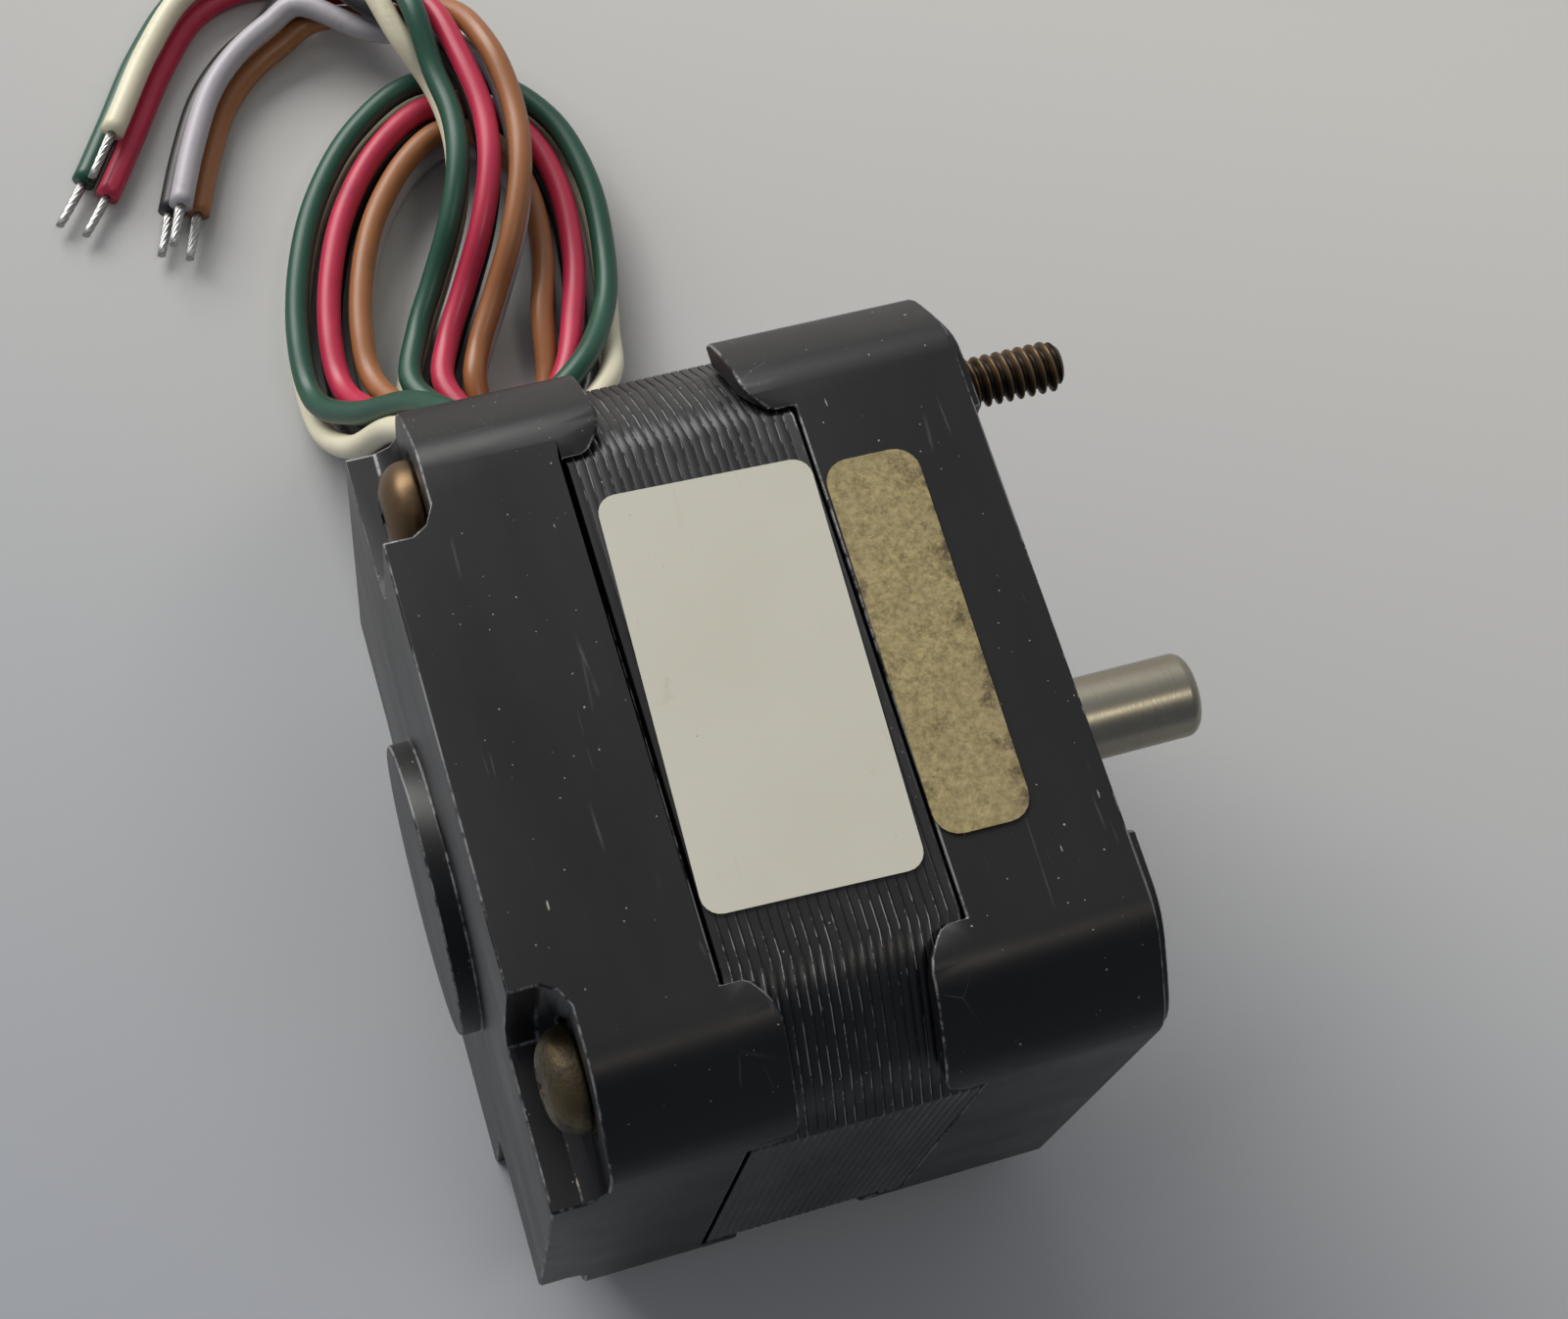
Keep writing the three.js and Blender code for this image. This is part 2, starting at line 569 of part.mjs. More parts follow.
const TAILS = {
  left: [
    [4.9, 53, 2],
    [0.2, 51.8, 1.8],
    [-3.4, 47.9, 1.7],
    [-6.5, 43, 1.7],
    [-9.2, 38.8, 1.7],
    [-11.3, 36, 1.7],
  ],
  right: [
    [5.2, 47.8, 2.2],
    [2.3, 46.1, 1.8],
    [-0.1, 43.5, 1.7],
    [-2.1, 39.7, 1.7],
    [-3.7, 35.9, 1.7],
    [-5.1, 32.4, 1.7],
  ],
};

function offsetRoute(centre, lanes, layers) {
  return centre.map(([x, y, z, turn = 0], i) => {
    const [x0, y0, z0] = centre[Math.max(0, i - 1)];
    const [x1, y1, z1] = centre[Math.min(centre.length - 1, i + 1)];
    const along = new THREE.Vector3(x1 - x0, y1 - y0, z1 - z0).normalize();
    const across = new THREE.Vector3(-along.y, along.x, 0).normalize();
    const above = along.clone().cross(across);
    const t = THREE.MathUtils.degToRad(turn);
    const point = new THREE.Vector3(x, HALF + y, z);
    point.addScaledVector(across, lanes * Math.cos(t) - layers * Math.sin(t));
    return point.addScaledVector(above, lanes * Math.sin(t) + layers * Math.cos(t));
  });
}

function lead({ lane, layer, tail, tailLane, tailLayer, trim }) {
  const run = offsetRoute(BUNDLE, lane * LANE, layer * LAYER);
  const end = offsetRoute(TAILS[tail], -tailLane, tailLayer);
  const points = [...run, ...end.slice(0, end.length - trim)];
  const curve = new THREE.CatmullRomCurve3(points, false, 'catmullrom', 0.5);
  const shape = new THREE.Shape();
  for (let i = 0; i < 8; i += 1) {
    const [a, b] = polar(LEAD_D / 2, 45 * i + 22.5);
    if (i) shape.lineTo(a, b);
    else shape.moveTo(a, b);
  }
  const geometry = new THREE.ExtrudeGeometry(shape, { steps: 58, bevelEnabled: false, extrudePath: curve });
  return solid(geometry);
}

const assembly = new THREE.Group();
assembly.name = 'stepper_motor';

function place(name, material, body, z = HALF) {
  const geometry = toGeometry(body).translate(SHIFT_X, 0, z);
  const mesh = new THREE.Mesh(geometry, new THREE.MeshStandardMaterial(materials[material]));
  mesh.name = name;
  assembly.add(mesh);
}

place('rear_end_bell', 'black_lacquer', rearBell());
place('front_end_bell', 'black_lacquer', frontBell());
place('stator_stack', 'lamination', statorStack());
for (let k = 0; k < POLES; k += 1) place(`coil_${k + 1}`, 'copper', coil((360 / POLES) * k));
place('rear_insulator', 'nylon', insulator(STACK_X0, -1));
place('front_insulator', 'nylon', insulator(STACK_X1, 1));

const rotorX0 = STACK_X0 + FIT;
const rotorX1 = STACK_X1 - FIT;
const magnetX0 = (STACK_X0 + STACK_X1 - MAGNET_LEN) / 2;
const magnetX1 = magnetX0 + MAGNET_LEN;
const collar = RACE_BORE + 0.5;
place('shaft', 'ground_steel', shaft());
const spacer = (x0, x1) => tube(x0 + FIT, x1 - FIT, SHAFT_R + FIT, collar, 24);
place('rear_rotor_cup', 'rotor_steel', rotorCup(rotorX0, magnetX0 - FIT, 0));
place('front_rotor_cup', 'rotor_steel', rotorCup(magnetX1 + FIT, rotorX1, 0.5));
place('rotor_magnet', 'magnet', tube(magnetX0, magnetX1, SHAFT_R + FIT, ROTOR_R - MAGNET_STEP, 32));
place('rear_spacer', 'rotor_steel', spacer(REAR_BRG_X + BEARING_W, rotorX0));
place('front_spacer', 'rotor_steel', spacer(rotorX1, FRONT_BRG_X));
for (const [end, x] of [['rear', REAR_BRG_X], ['front', FRONT_BRG_X]]) {
  place(`${end}_bearing_outer`, 'bearing_steel', bearingOuter(x));
  place(`${end}_bearing_inner`, 'bearing_steel', tube(x, x + BEARING_W, RACE_BORE, RACE_IN, 28));
  place(`${end}_bearing_balls`, 'bearing_steel', ballCage(x));
}
place('wave_washer', 'bearing_steel', waveWasher());

const shortEnd = FRONT_X - SHORT_SCREW_BACK;
place('screw_long', 'bronze_steel', screw(1, 1, FRONT_X + LONG_SCREW_OUT, true));
place('screw_top_near', 'zinc_yellow', screw(-1, 1, shortEnd, false));
place('screw_bottom_near', 'zinc_yellow', screw(-1, -1, shortEnd, false));
place('screw_bottom_far', 'zinc_yellow', screw(1, -1, shortEnd, false));
place('lead_grommet', 'grommet', grommet());
const labelX = (STACK_X0 + STACK_X1) / 2 - 0.04;
const smallLabelX = FRONT_X0 + SMALL_LABEL_W / 2 + 0.1;
place('label_white', 'paper_white', label(labelX, 0.15, STACK_LEN - 2 * LABEL_MARGIN, LABEL_LEN, 1, -2));
place('label_tan', 'paper_tan', label(smallLabelX, 0.2, SMALL_LABEL_W, SMALL_LABEL_LEN, 1.3, -0.8));
for (const spec of LEADS) place(spec.name, spec.name, lead(spec), 0);

export default assembly;
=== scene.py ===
import bpy
import math
from mathutils import Matrix, Vector


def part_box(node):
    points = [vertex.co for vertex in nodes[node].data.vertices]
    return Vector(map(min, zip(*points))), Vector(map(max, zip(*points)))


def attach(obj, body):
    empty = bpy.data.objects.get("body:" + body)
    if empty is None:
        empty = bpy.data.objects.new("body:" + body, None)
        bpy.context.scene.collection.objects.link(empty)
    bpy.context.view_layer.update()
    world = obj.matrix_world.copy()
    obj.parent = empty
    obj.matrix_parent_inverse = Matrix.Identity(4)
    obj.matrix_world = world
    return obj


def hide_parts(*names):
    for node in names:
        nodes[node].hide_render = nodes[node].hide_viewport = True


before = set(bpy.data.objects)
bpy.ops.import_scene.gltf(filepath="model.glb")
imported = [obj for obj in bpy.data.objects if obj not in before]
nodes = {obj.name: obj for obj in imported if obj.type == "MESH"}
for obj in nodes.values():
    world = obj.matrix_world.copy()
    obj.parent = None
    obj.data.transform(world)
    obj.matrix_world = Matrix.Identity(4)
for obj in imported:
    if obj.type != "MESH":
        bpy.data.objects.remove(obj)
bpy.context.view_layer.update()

MM = 0.001
X, Z = Vector((1, 0, 0)), Vector((0, 0, 1))

# Places read from the frame, in metres.
rear_low, rear_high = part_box("rear_end_bell")
stack_low, stack_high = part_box("stator_stack")
shaft_low, shaft_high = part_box("shaft")
HALF = rear_high.y
AXIS_Z = (rear_low.z + rear_high.z) / 2
SCREW_AT = HALF - 5.5 * MM
LAMINATIONS = 24
SCREW_R = 1.42 * MM
SCREW_PITCH = 0.635 * MM
SHANK_R = SCREW_R - 0.2 * MM
HEAD_H = 2 * MM

DUST = (0.62, 0.60, 0.55)


def linear(colour):
    """Display colour to the linear values that shaders take."""
    return tuple(c / 12.92 if c <= 0.04045 else ((c + 0.055) / 1.055) ** 2.4 for c in colour) + (1.0,)


# ---------------------------------------------------------------- camera

LENS = 62.58
CAMERA_TURN = [math.radians(a) for a in (-32.706, 22.018, 16.823)]
CAMERA_AIM = Vector((-4.09, 0.87, 42)) * MM
CAMERA_AWAY = 135.18 * MM


def aim_camera():
    camera = bpy.data.cameras.new("camera")
    camera.lens = LENS
    camera.sensor_width = 36
    camera.clip_start = 0.01
    holder = bpy.data.objects.new("camera", camera)
    bpy.context.scene.collection.objects.link(holder)
    first, tilt, last = CAMERA_TURN
    spin = Matrix.Rotation(first, 4, "Z") @ Matrix.Rotation(tilt, 4, "X") @ Matrix.Rotation(last, 4, "Z")
    holder.matrix_world = Matrix.Translation(CAMERA_AIM + (spin @ Z) * CAMERA_AWAY) @ spin
    bpy.context.scene.camera = holder


aim_camera()

# ---------------------------------------------------------------- leads

# Lengths in this part are in millimetres until the routes are scaled.
LEAD_D = 1.6
LANE = LEAD_D + 0.5
LAYER = LEAD_D / 2 + 0.3
BODY_HALF = 21.0
EXIT_X = 9.87 - 0.3 - LAYER - LEAD_D / 2
LEAD_SHIFT = -21.7
STRIPPED = 3.4
ROUTE_STEPS = 240
STRAND_D = 0.3
STRAND_RING = 0.27

# name, lane, layer, tail, tail lane, tail layer, points left off the tail
LEADS = [
    ("lead_green", 1, 1, "left", 0.95, -0.8, 0),
    ("lead_cream", 1, -1, "left", 0, 0.85, 1),
    ("lead_red", 0, 1, "left", -0.95, -0.8, 0),
    ("lead_black", 0, -1, "right", 0.95, -0.8, 0),
    ("lead_brown", -1, 1, "right", -0.95, -0.8, 0),
    ("lead_grey", -1, -1, "right", 0, 0.85, 0),
]

# Centre of the bundle: x, distance from the body side, height, turn of the bundle in degrees.
BUNDLE = [
    (EXIT_X, 0.05, BODY_HALF, 90),
    (EXIT_X - 0.1, 4, BODY_HALF * 0.95, 90),
    (6.6, 9, BODY_HALF * 0.66, 70),
    (4.8, 13.4, 6.8, 35),
    (3.3, 18, 2.6, 5),
    (3.4, 23, 1.98, 0),
    (4.7, 28, 1.98, 0),
    (6.8, 32.4, 1.98, 0),
    (10, 36.3, 1.98, 0),
    (13.8, 38.6, 1.98, 0),
    (17.6, 37.9, 1.98, 0),
    (20.2, 34.9, 1.98, 0),
    (21.2, 30.4, 1.98, 0),
    (20.8, 25.2, 1.98, 0),
    (19.7, 20.6, 2.3, 10),
    (18.4, 15.6, 3.2, 60),
    (14.6, 12.2, 3.4, 90),
    (10.6, 13.6, 3.3, 60),
    (9.6, 17.4, 2.4, 10),
    (11, 21, 2.1, 0),
    (13, 24.2, 3.2, 0),
    (15, 27.4, 5.3, 0),
    (16.4, 31, 6.3, 0),
    (17, 35, 6.3, 0),
    (16.6, 39.4, 6.3, 0),
    (15, 43.5, 6.2, 45),
    (12.4, 47, 5.1, 110),
    (9.2, 49.9, 3.2, 165),
]
TAILS = {
    "left": [(4.9, 53, 2), (0.2, 51.8, 1.8), (-3.4, 47.9, 1.7),
             (-6.5, 43, 1.7), (-9.2, 38.8, 1.7), (-11.3, 36, 1.7)],
    "right": [(5.2, 47.8, 2.2), (2.3, 46.1, 1.8), (-0.1, 43.5, 1.7),
              (-2.1, 39.7, 1.7), (-3.7, 35.9, 1.7), (-5.1, 32.4, 1.7)],
}


def offset_route(centre, lanes, layers):
    """One lead's points beside and above the centre of its bundle, in millimetres."""
    points = []
    for i, (x, y, z, *turn) in enumerate(centre):
        before = Vector(centre[max(0, i - 1)][:3])
        after = Vector(centre[min(len(centre) - 1, i + 1)][:3])
        along = (after - before).normalized()
        across = Vector((-along.y, along.x, 0)).normalized()
        above = along.cross(across)
        t = math.radians(turn[0] if turn else 0)
        point = Vector((x, BODY_HALF + y, z)) + across * (lanes * math.cos(t) - layers * math.sin(t))
        points.append(point + above * (lanes * math.sin(t) + layers * math.cos(t)))
    return points


def smooth_route(points, steps):
    """Catmull-Rom curve of tension one half through the points, sampled evenly by length."""
    first = points[0] * 2 - points[1]
    last = points[-1] * 2 - points[-2]
    knots = [first, *points, last]
    dense = []
    for i in range(len(points) - 1):
        p0, p1, p2, p3 = knots[i:i + 4]
        m1, m2 = (p2 - p0) * 0.5, (p3 - p1) * 0.5
        for k in range(16):
            t = k / 16
            a, b = 2 * t ** 3 - 3 * t ** 2 + 1, t ** 3 - 2 * t ** 2 + t
            c, d = -2 * t ** 3 + 3 * t ** 2, t ** 3 - t ** 2
            dense.append(p1 * a + m1 * b + p2 * c + m2 * d)
    dense.append(points[-1].copy())
    travel = [0.0]
    for a, b in zip(dense, dense[1:]):
        travel.append(travel[-1] + (b - a).length)
    route, at = [], 0
    for k in range(steps + 1):
        want = travel[-1] * k / steps
        while at < len(dense) - 2 and travel[at + 1] < want:
            at += 1
        span = travel[at + 1] - travel[at]
        route.append(dense[at].lerp(dense[at + 1], min(1, (want - travel[at]) / span)))
    return route, travel[-1]


def tube_mesh(name, route, radius, around=14):
    """A closed tube along a route, with a map that runs along it (u) and round it (v), in metres."""
    frames = []
    side = (route[1] - route[0]).cross(Z)
    side = (X if side.length < 1e-6 else side).normalized()
    for i, point in enumerate(route):
        along = (route[min(i + 1, len(route) - 1)] - route[max(i - 1, 0)]).normalized()
        side = (side - along * side.dot(along)).normalized()
        frames.append((point, side.copy(), along.cross(side)))
    verts = []
    for point, a, b in frames:
        for k in range(around):
            t = 2 * math.pi * k / around
            verts.append(point + (a * math.cos(t) + b * math.sin(t)) * radius)
    faces = []
    for i in range(len(route) - 1):
        for k in range(around):
            n = (k + 1) % around
            faces.append((i * around + k, i * around + n, (i + 1) * around + n, (i + 1) * around + k))
    faces.append(tuple(reversed(range(around))))
    last = (len(route) - 1) * around
    faces.append(tuple(range(last, last + around)))
    mesh = bpy.data.meshes.new(name)
    mesh.from_pydata(verts, [], faces)
    uv = mesh.uv_layers.new(name="along")
    travel = [0.0]
    for a, b in zip(route, route[1:]):
        travel.append(travel[-1] + (b - a).length)
    for face in mesh.polygons:
        ring = [mesh.loops[i].vertex_index for i in face.loop_indices]
        wrap = max(v % around for v in ring) - min(v % around for v in ring) > around / 2
        for i in face.loop_indices:
            v = mesh.loops[i].vertex_index
            k = v % around
            k = k + around if wrap and k < around / 2 else k
            uv.data[i].uv = (travel[v // around], k / around)
    mesh.shade_smooth()
    piece = bpy.data.objects.new(name, mesh)
    bpy.context.scene.collection.objects.link(piece)
    return piece


def lead_piece(name, lane, layer, tail, tail_lane, tail_layer, trim):
    """Insulation and, past its cut end, the tinned strands twisted to a tip."""
    points = offset_route(BUNDLE, lane * LANE, layer * LAYER)
    end = offset_route(TAILS[tail], -tail_lane, tail_layer)
    points += end[:len(end) - trim]
    points = [(p + X * LEAD_SHIFT) * MM for p in points]
    route, length = smooth_route(points, ROUTE_STEPS)
    bare = max(1, round(ROUTE_STEPS * STRIPPED * MM / length))
    sleeve = tube_mesh(name + "_insulation", route[:-bare], LEAD_D / 2 * MM)
    tip = strand_tip(name + "_strands", route[-bare - 1:])
    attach(sleeve, "stator")
    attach(tip, "stator")
    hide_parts(name)
    return sleeve, tip


def strand_tip(name, route):
    """Seven thin strands twisted about the route, tinned together towards the end."""
    parts = []
    for k in range(7):
        reach = 0 if k == 6 else STRAND_RING * MM
        line = []
        for i, point in enumerate(route):
            t = i / (len(route) - 1)
            turn = 2 * math.pi * (k / 6 + 0.9 * t)
            draw = 1 - 0.35 * t
            line.append(point + (X * math.cos(turn) + Z * math.sin(turn)) * reach * draw)
        parts.append(tube_mesh(f"{name}_{k}", line, STRAND_D / 2 * MM, around=8))
    return joined(parts, name)


# ---------------------------------------------------------------- modelling helpers

def only(obj):
    """Deselect everything, then select and activate one object."""
    if bpy.context.object and bpy.context.object.mode != "OBJECT":
        bpy.ops.object.mode_set(mode="OBJECT")
    bpy.ops.object.select_all(action="DESELECT")
    obj.hide_viewport = False
    obj.select_set(True)
    bpy.context.view_layer.objects.active = obj


def joined(parts, name):
    only(parts[0])
    for part in parts:
        part.select_set(True)
    bpy.ops.object.join()
    parts[0].name = name
    parts[0].data.name = name
    return parts[0]


def modify(obj, kind, **settings):
    only(obj)
    modifier = obj.modifiers.new(kind.lower(), kind)
    for key, value in settings.items():
        setattr(modifier, key, value)
    bpy.ops.object.modifier_apply(modifier=modifier.name)


def settle(obj):
    """Place, turn and scale go into the mesh."""
    only(obj)
    bpy.ops.object.transform_apply(location=True, rotation=True, scale=True)


def named(name):
    obj = bpy.context.object
    obj.name = name
    obj.data.name = name
    return obj


def copy_of(node, name):
    """A clean copy of a frame node with its doubles merged."""
    source = nodes[node]
    obj = source.copy()
    obj.data = source.data.copy()
    obj.parent = None
    for key in list(obj.keys()):
        del obj[key]
    bpy.context.scene.collection.objects.link(obj)
    obj.name = name
    obj.data.name = name
    obj.data.materials.clear()
    only(obj)
    bpy.ops.object.mode_set(mode="EDIT")
    bpy.ops.mesh.select_all(action="SELECT")
    bpy.ops.mesh.remove_doubles(threshold=0.02 * MM)
    bpy.ops.object.mode_set(mode="OBJECT")
    return obj


def smoothed(obj, angle=35):
    """Smooth shading that keeps the large flats flat."""
    only(obj)
    bpy.ops.object.shade_smooth_by_angle(angle=math.radians(angle))
    modify(obj, "WEIGHTED_NORMAL", mode="FACE_AREA", weight=80, keep_sharp=True)


def eased(obj, width, angle=32, segments=2):
    """Break the sharp edges, and note the middle of each broken edge in the attribute "rim"."""
    markers = [bpy.data.materials.new(name) for name in ("old_face", "broken_edge")]
    for marker in markers:
        obj.data.materials.append(marker)
    modify(obj, "BEVEL", width=width, segments=segments, limit_method="ANGLE",
           angle_limit=math.radians(angle), use_clamp_overlap=False, loop_slide=True, material=1)
    inner = set(range(len(obj.data.vertices)))
    for face in obj.data.polygons:
        if face.material_index == 0:
            inner.difference_update(face.vertices)
        face.material_index = 0
    rim = obj.data.attributes.new("rim", "FLOAT", "POINT")
    for i in inner:
        rim.data[i].value = 1.0
    obj.data.materials.clear()
    for marker in markers:
        bpy.data.materials.remove(marker)
    smoothed(obj)


def drawn_line(name, points):
    """A line drawn vertex by vertex, as by extruding from the first point."""
    bpy.ops.object.select_all(action="DESELECT")
    bpy.ops.mesh.primitive_plane_add(size=MM, location=points[0])
    obj = named(name)
    bpy.ops.object.mode_set(mode="EDIT")
    bpy.ops.mesh.select_mode(type="VERT")
    bpy.ops.mesh.select_all(action="SELECT")
    bpy.ops.mesh.merge(type="CENTER")
    for a, b in zip(points, points[1:]):
        step = Vector(b) - Vector(a)
        bpy.ops.mesh.extrude_vertices_move(TRANSFORM_OT_translate={"value": step})
    bpy.ops.object.mode_set(mode="OBJECT")
    settle(obj)
    return obj


def turned_piece(name, profile, y=0.0, z=None, steps=96):
    """A profile of (x, radius) points spun about the line through y and z along X."""
    z = AXIS_Z if z is None else z
    obj = drawn_line(name, [(x, 0, r) for x, r in profile])
    modify(obj, "SCREW", axis="X", steps=steps, render_steps=steps, use_merge_vertices=True,
           merge_threshold=0.001 * MM)
    moved(obj, (0, y, z))
    outward(obj)
    return obj


def moved(obj, by):
    obj.location = by
    settle(obj)


def outward(obj):
    only(obj)
    bpy.ops.object.mode_set(mode="EDIT")
    bpy.ops.mesh.select_all(action="SELECT")
    bpy.ops.mesh.remove_doubles(threshold=0.001 * MM)
    bpy.ops.mesh.normals_make_consistent(inside=False)
    bpy.ops.object.mode_set(mode="OBJECT")


def cut(obj, cutter, operation="DIFFERENCE"):
    modify(obj, "BOOLEAN", object=cutter, operation=operation, solver="EXACT")
    bpy.data.objects.remove(cutter)


def own(obj, body, material, slot_name, *replaced):
    """Finish a piece: its material, the body it rides on and what it stands for."""
    obj.data.materials.clear()
    obj.data.materials.append(material)
    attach(obj, body)
    if replaced:
        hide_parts(*replaced)
    return obj


# ---------------------------------------------------------------- shader groups

def group(name, inputs, outputs):
    tree = bpy.data.node_groups.new(name, "ShaderNodeTree")
    for socket, kind, default in inputs:
        made = tree.interface.new_socket(socket, in_out="INPUT", socket_type=kind)
        if default is not None:
            made.default_value = default
    for socket, kind in outputs:
        tree.interface.new_socket(socket, in_out="OUTPUT", socket_type=kind)
    return tree, tree.nodes.new("NodeGroupInput"), tree.nodes.new("NodeGroupOutput")


def put(tree, kind, links=None, **settings):
    """Add a node, set its properties and input values, and link its inputs."""
    node = tree.nodes.new(kind)
    for key, value in settings.items():
        setattr(node, key, value)
    for socket, value in (links or {}).items():
        target = node.inputs[socket]
        if isinstance(value, bpy.types.NodeSocket):
            tree.links.new(value, target)
        else:
            target.default_value = value
    return node


def math_node(tree, operation, a, b=0.0, clamp=False):
    return put(tree, "ShaderNodeMath", {0: a, 1: b}, operation=operation, use_clamp=clamp).outputs[0]


def plus(tree, a, b, clamp=False):
    return math_node(tree, "ADD", a, b, clamp)


def minus(tree, a, b):
    return math_node(tree, "SUBTRACT", a, b)


def times(tree, a, b):
    return math_node(tree, "MULTIPLY", a, b)


def noise(tree, vector, scale, detail=3.0, roughness=0.55):
    made = put(tree, "ShaderNodeTexNoise",
               {"Vector": vector, "Scale": scale, "Detail": detail, "Roughness": roughness})
    return made.outputs["Fac"]


def between(tree, value, low, high, out_low=0.0, out_high=1.0):
    made = put(tree, "ShaderNodeMapRange", {"Value": value, "From Min": low, "From Max": high,
                                             "To Min": out_low, "To Max": out_high}, clamp=True)
    return made.outputs["Result"]


def blended(tree, factor, a, b, mode="MIX"):
    made = put(tree, "ShaderNodeMix", {0: factor, 6: a, 7: b}, data_type="RGBA", blend_type=mode)
    return made.outputs[2]


def stretched(tree, vector, scale):
    return put(tree, "ShaderNodeMapping", {"Vector": vector, "Scale": scale}).outputs[0]


def make_dust_group():
    """Sparse specks and short fibres of many sizes, as a mask."""
    tree, inside, outside = group("dust_specks", [
        ("Vector", "NodeSocketVector", None), ("Density", "NodeSocketFloat", 0.5),
        ("Size", "NodeSocketFloat", 1.0)], [("Mask", "NodeSocketFloat")])
    vector = inside.outputs["Vector"]
    ragged = put(tree, "ShaderNodeTexNoise", {"Vector": vector, "Scale": 9000.0, "Detail": 2.0})
    wobble = put(tree, "ShaderNodeVectorMath", {0: ragged.outputs["Color"], 3: 0.10 * MM}, operation="SCALE")
    spot_at = put(tree, "ShaderNodeVectorMath", {0: vector, 1: wobble.outputs[0]}, operation="ADD").outputs[0]
    spots = []
    # cells a metre, size in its cell, stretch and turn: round specks first, then short fibres
    for scale, reach, pull, turn in ((300.0, 0.024, 1, 0), (1000.0, 0.052, 1, 0), (1500.0, 0.065, 1, 0),
                                     (620.0, 0.036, 0.2, 0.9), (540.0, 0.034, 0.22, -0.5)):
        laid = put(tree, "ShaderNodeMapping",
                   {"Vector": spot_at, "Rotation": (0.1, 0.2, turn), "Scale": (1, pull, 1)})
        cells = put(tree, "ShaderNodeTexVoronoi", {"Vector": laid.outputs[0], "Scale": scale}, feature="F1")
        chance = put(tree, "ShaderNodeSeparateColor", {0: cells.outputs["Color"]})
        chosen = math_node(tree, "LESS_THAN", chance.outputs[0], inside.outputs["Density"])
        grown = times(tree, plus(tree, chance.outputs[1], 0.25), reach)
        near = math_node(tree, "DIVIDE", cells.outputs["Distance"],
                         times(tree, inside.outputs["Size"], grown))
        spots.append(times(tree, between(tree, near, 1.0, 0.5), chosen))
    found = spots[0]
    for spot in spots[1:]:
        found = math_node(tree, "MAXIMUM", found, spot)
    tree.links.new(found, outside.inputs["Mask"])
    return tree


def make_scratch_group():
    """Thin straight scratches in a few directions, broken up along their length."""
    tree, inside, outside = group("fine_scratches", [
        ("Vector", "NodeSocketVector", None), ("Amount", "NodeSocketFloat", 0.3)],
        [("Mask", "NodeSocketFloat")])
    found = None
    for turn, scale in ((0.4, 260.0), (-0.9, 330.0), (1.3, 210.0)):
        turned = put(tree, "ShaderNodeMapping", {
            "Vector": inside.outputs["Vector"], "Rotation": (0.2, 0.1, turn), "Scale": (1.0, 0.04, 1.0)})
        cells = put(tree, "ShaderNodeTexVoronoi", {"Vector": turned.outputs[0], "Scale": scale},
                    feature="DISTANCE_TO_EDGE")
        line = between(tree, cells.outputs["Distance"], 0.012, 0.002)
        gate = between(tree, noise(tree, inside.outputs["Vector"], scale * 0.6, 2.0), 0.62, 0.70)
        mark = times(tree, line, gate)
        found = mark if found is None else math_node(tree, "MAXIMUM", found, mark)
    tree.links.new(times(tree, found, inside.outputs["Amount"]), outside.inputs["Mask"])
    return tree


def make_wear_group():
    """Rubbed edges: the broken edges, worn bright in patches."""
    tree, inside, outside = group("rubbed_edges", [
        ("Vector", "NodeSocketVector", None), ("Rim", "NodeSocketFloat", 0.0),
        ("Amount", "NodeSocketFloat", 0.5)], [("Mask", "NodeSocketFloat")])
    broken = noise(tree, inside.outputs["Vector"], 1500.0, 4.0, 0.7)
    patchy = noise(tree, inside.outputs["Vector"], 170.0, 3.0, 0.6)
    weight = plus(tree, times(tree, broken, 0.6), times(tree, patchy, 0.9))
    gate = between(tree, weight, 0.68, 0.80)
    edge = between(tree, inside.outputs["Rim"], 0.15, 0.65)
    mask = times(tree, times(tree, edge, gate), inside.outputs["Amount"])
    tree.links.new(mask, outside.inputs["Mask"])
    return tree


dust_specks = make_dust_group()
fine_scratches = make_scratch_group()
rubbed_edges = make_wear_group()


def use(tree, made, **links):
    node = tree.nodes.new("ShaderNodeGroup")
    node.node_tree = made
    for socket, value in links.items():
        if isinstance(value, bpy.types.NodeSocket):
            tree.links.new(value, node.inputs[socket])
        else:
            node.inputs[socket].default_value = value
    return node.outputs[0]


# ---------------------------------------------------------------- materials

def new_material(name, **shader):
    """A material with one Principled shader; plain values go straight onto its sockets."""
    material = bpy.data.materials.new(name)
    material.use_nodes = True
    tree = material.node_tree
    bsdf = tree.nodes["Principled BSDF"]
    for socket, value in shader.items():
        bsdf.inputs[socket.replace("_", " ")].default_value = value
    place = tree.nodes.new("ShaderNodeTexCoord").outputs["Object"]
    return material, tree, bsdf, place


def bump(tree, bsdf, height, strength, distance):
    made = put(tree, "ShaderNodeBump", {"Height": height, "Strength": strength, "Distance": distance})
    tree.links.new(made.outputs[0], bsdf.inputs["Normal"])
    return made


def attribute(tree, name):
    made = tree.nodes.new("ShaderNodeAttribute")
    made.attribute_name = name
    return made.outputs["Fac"]


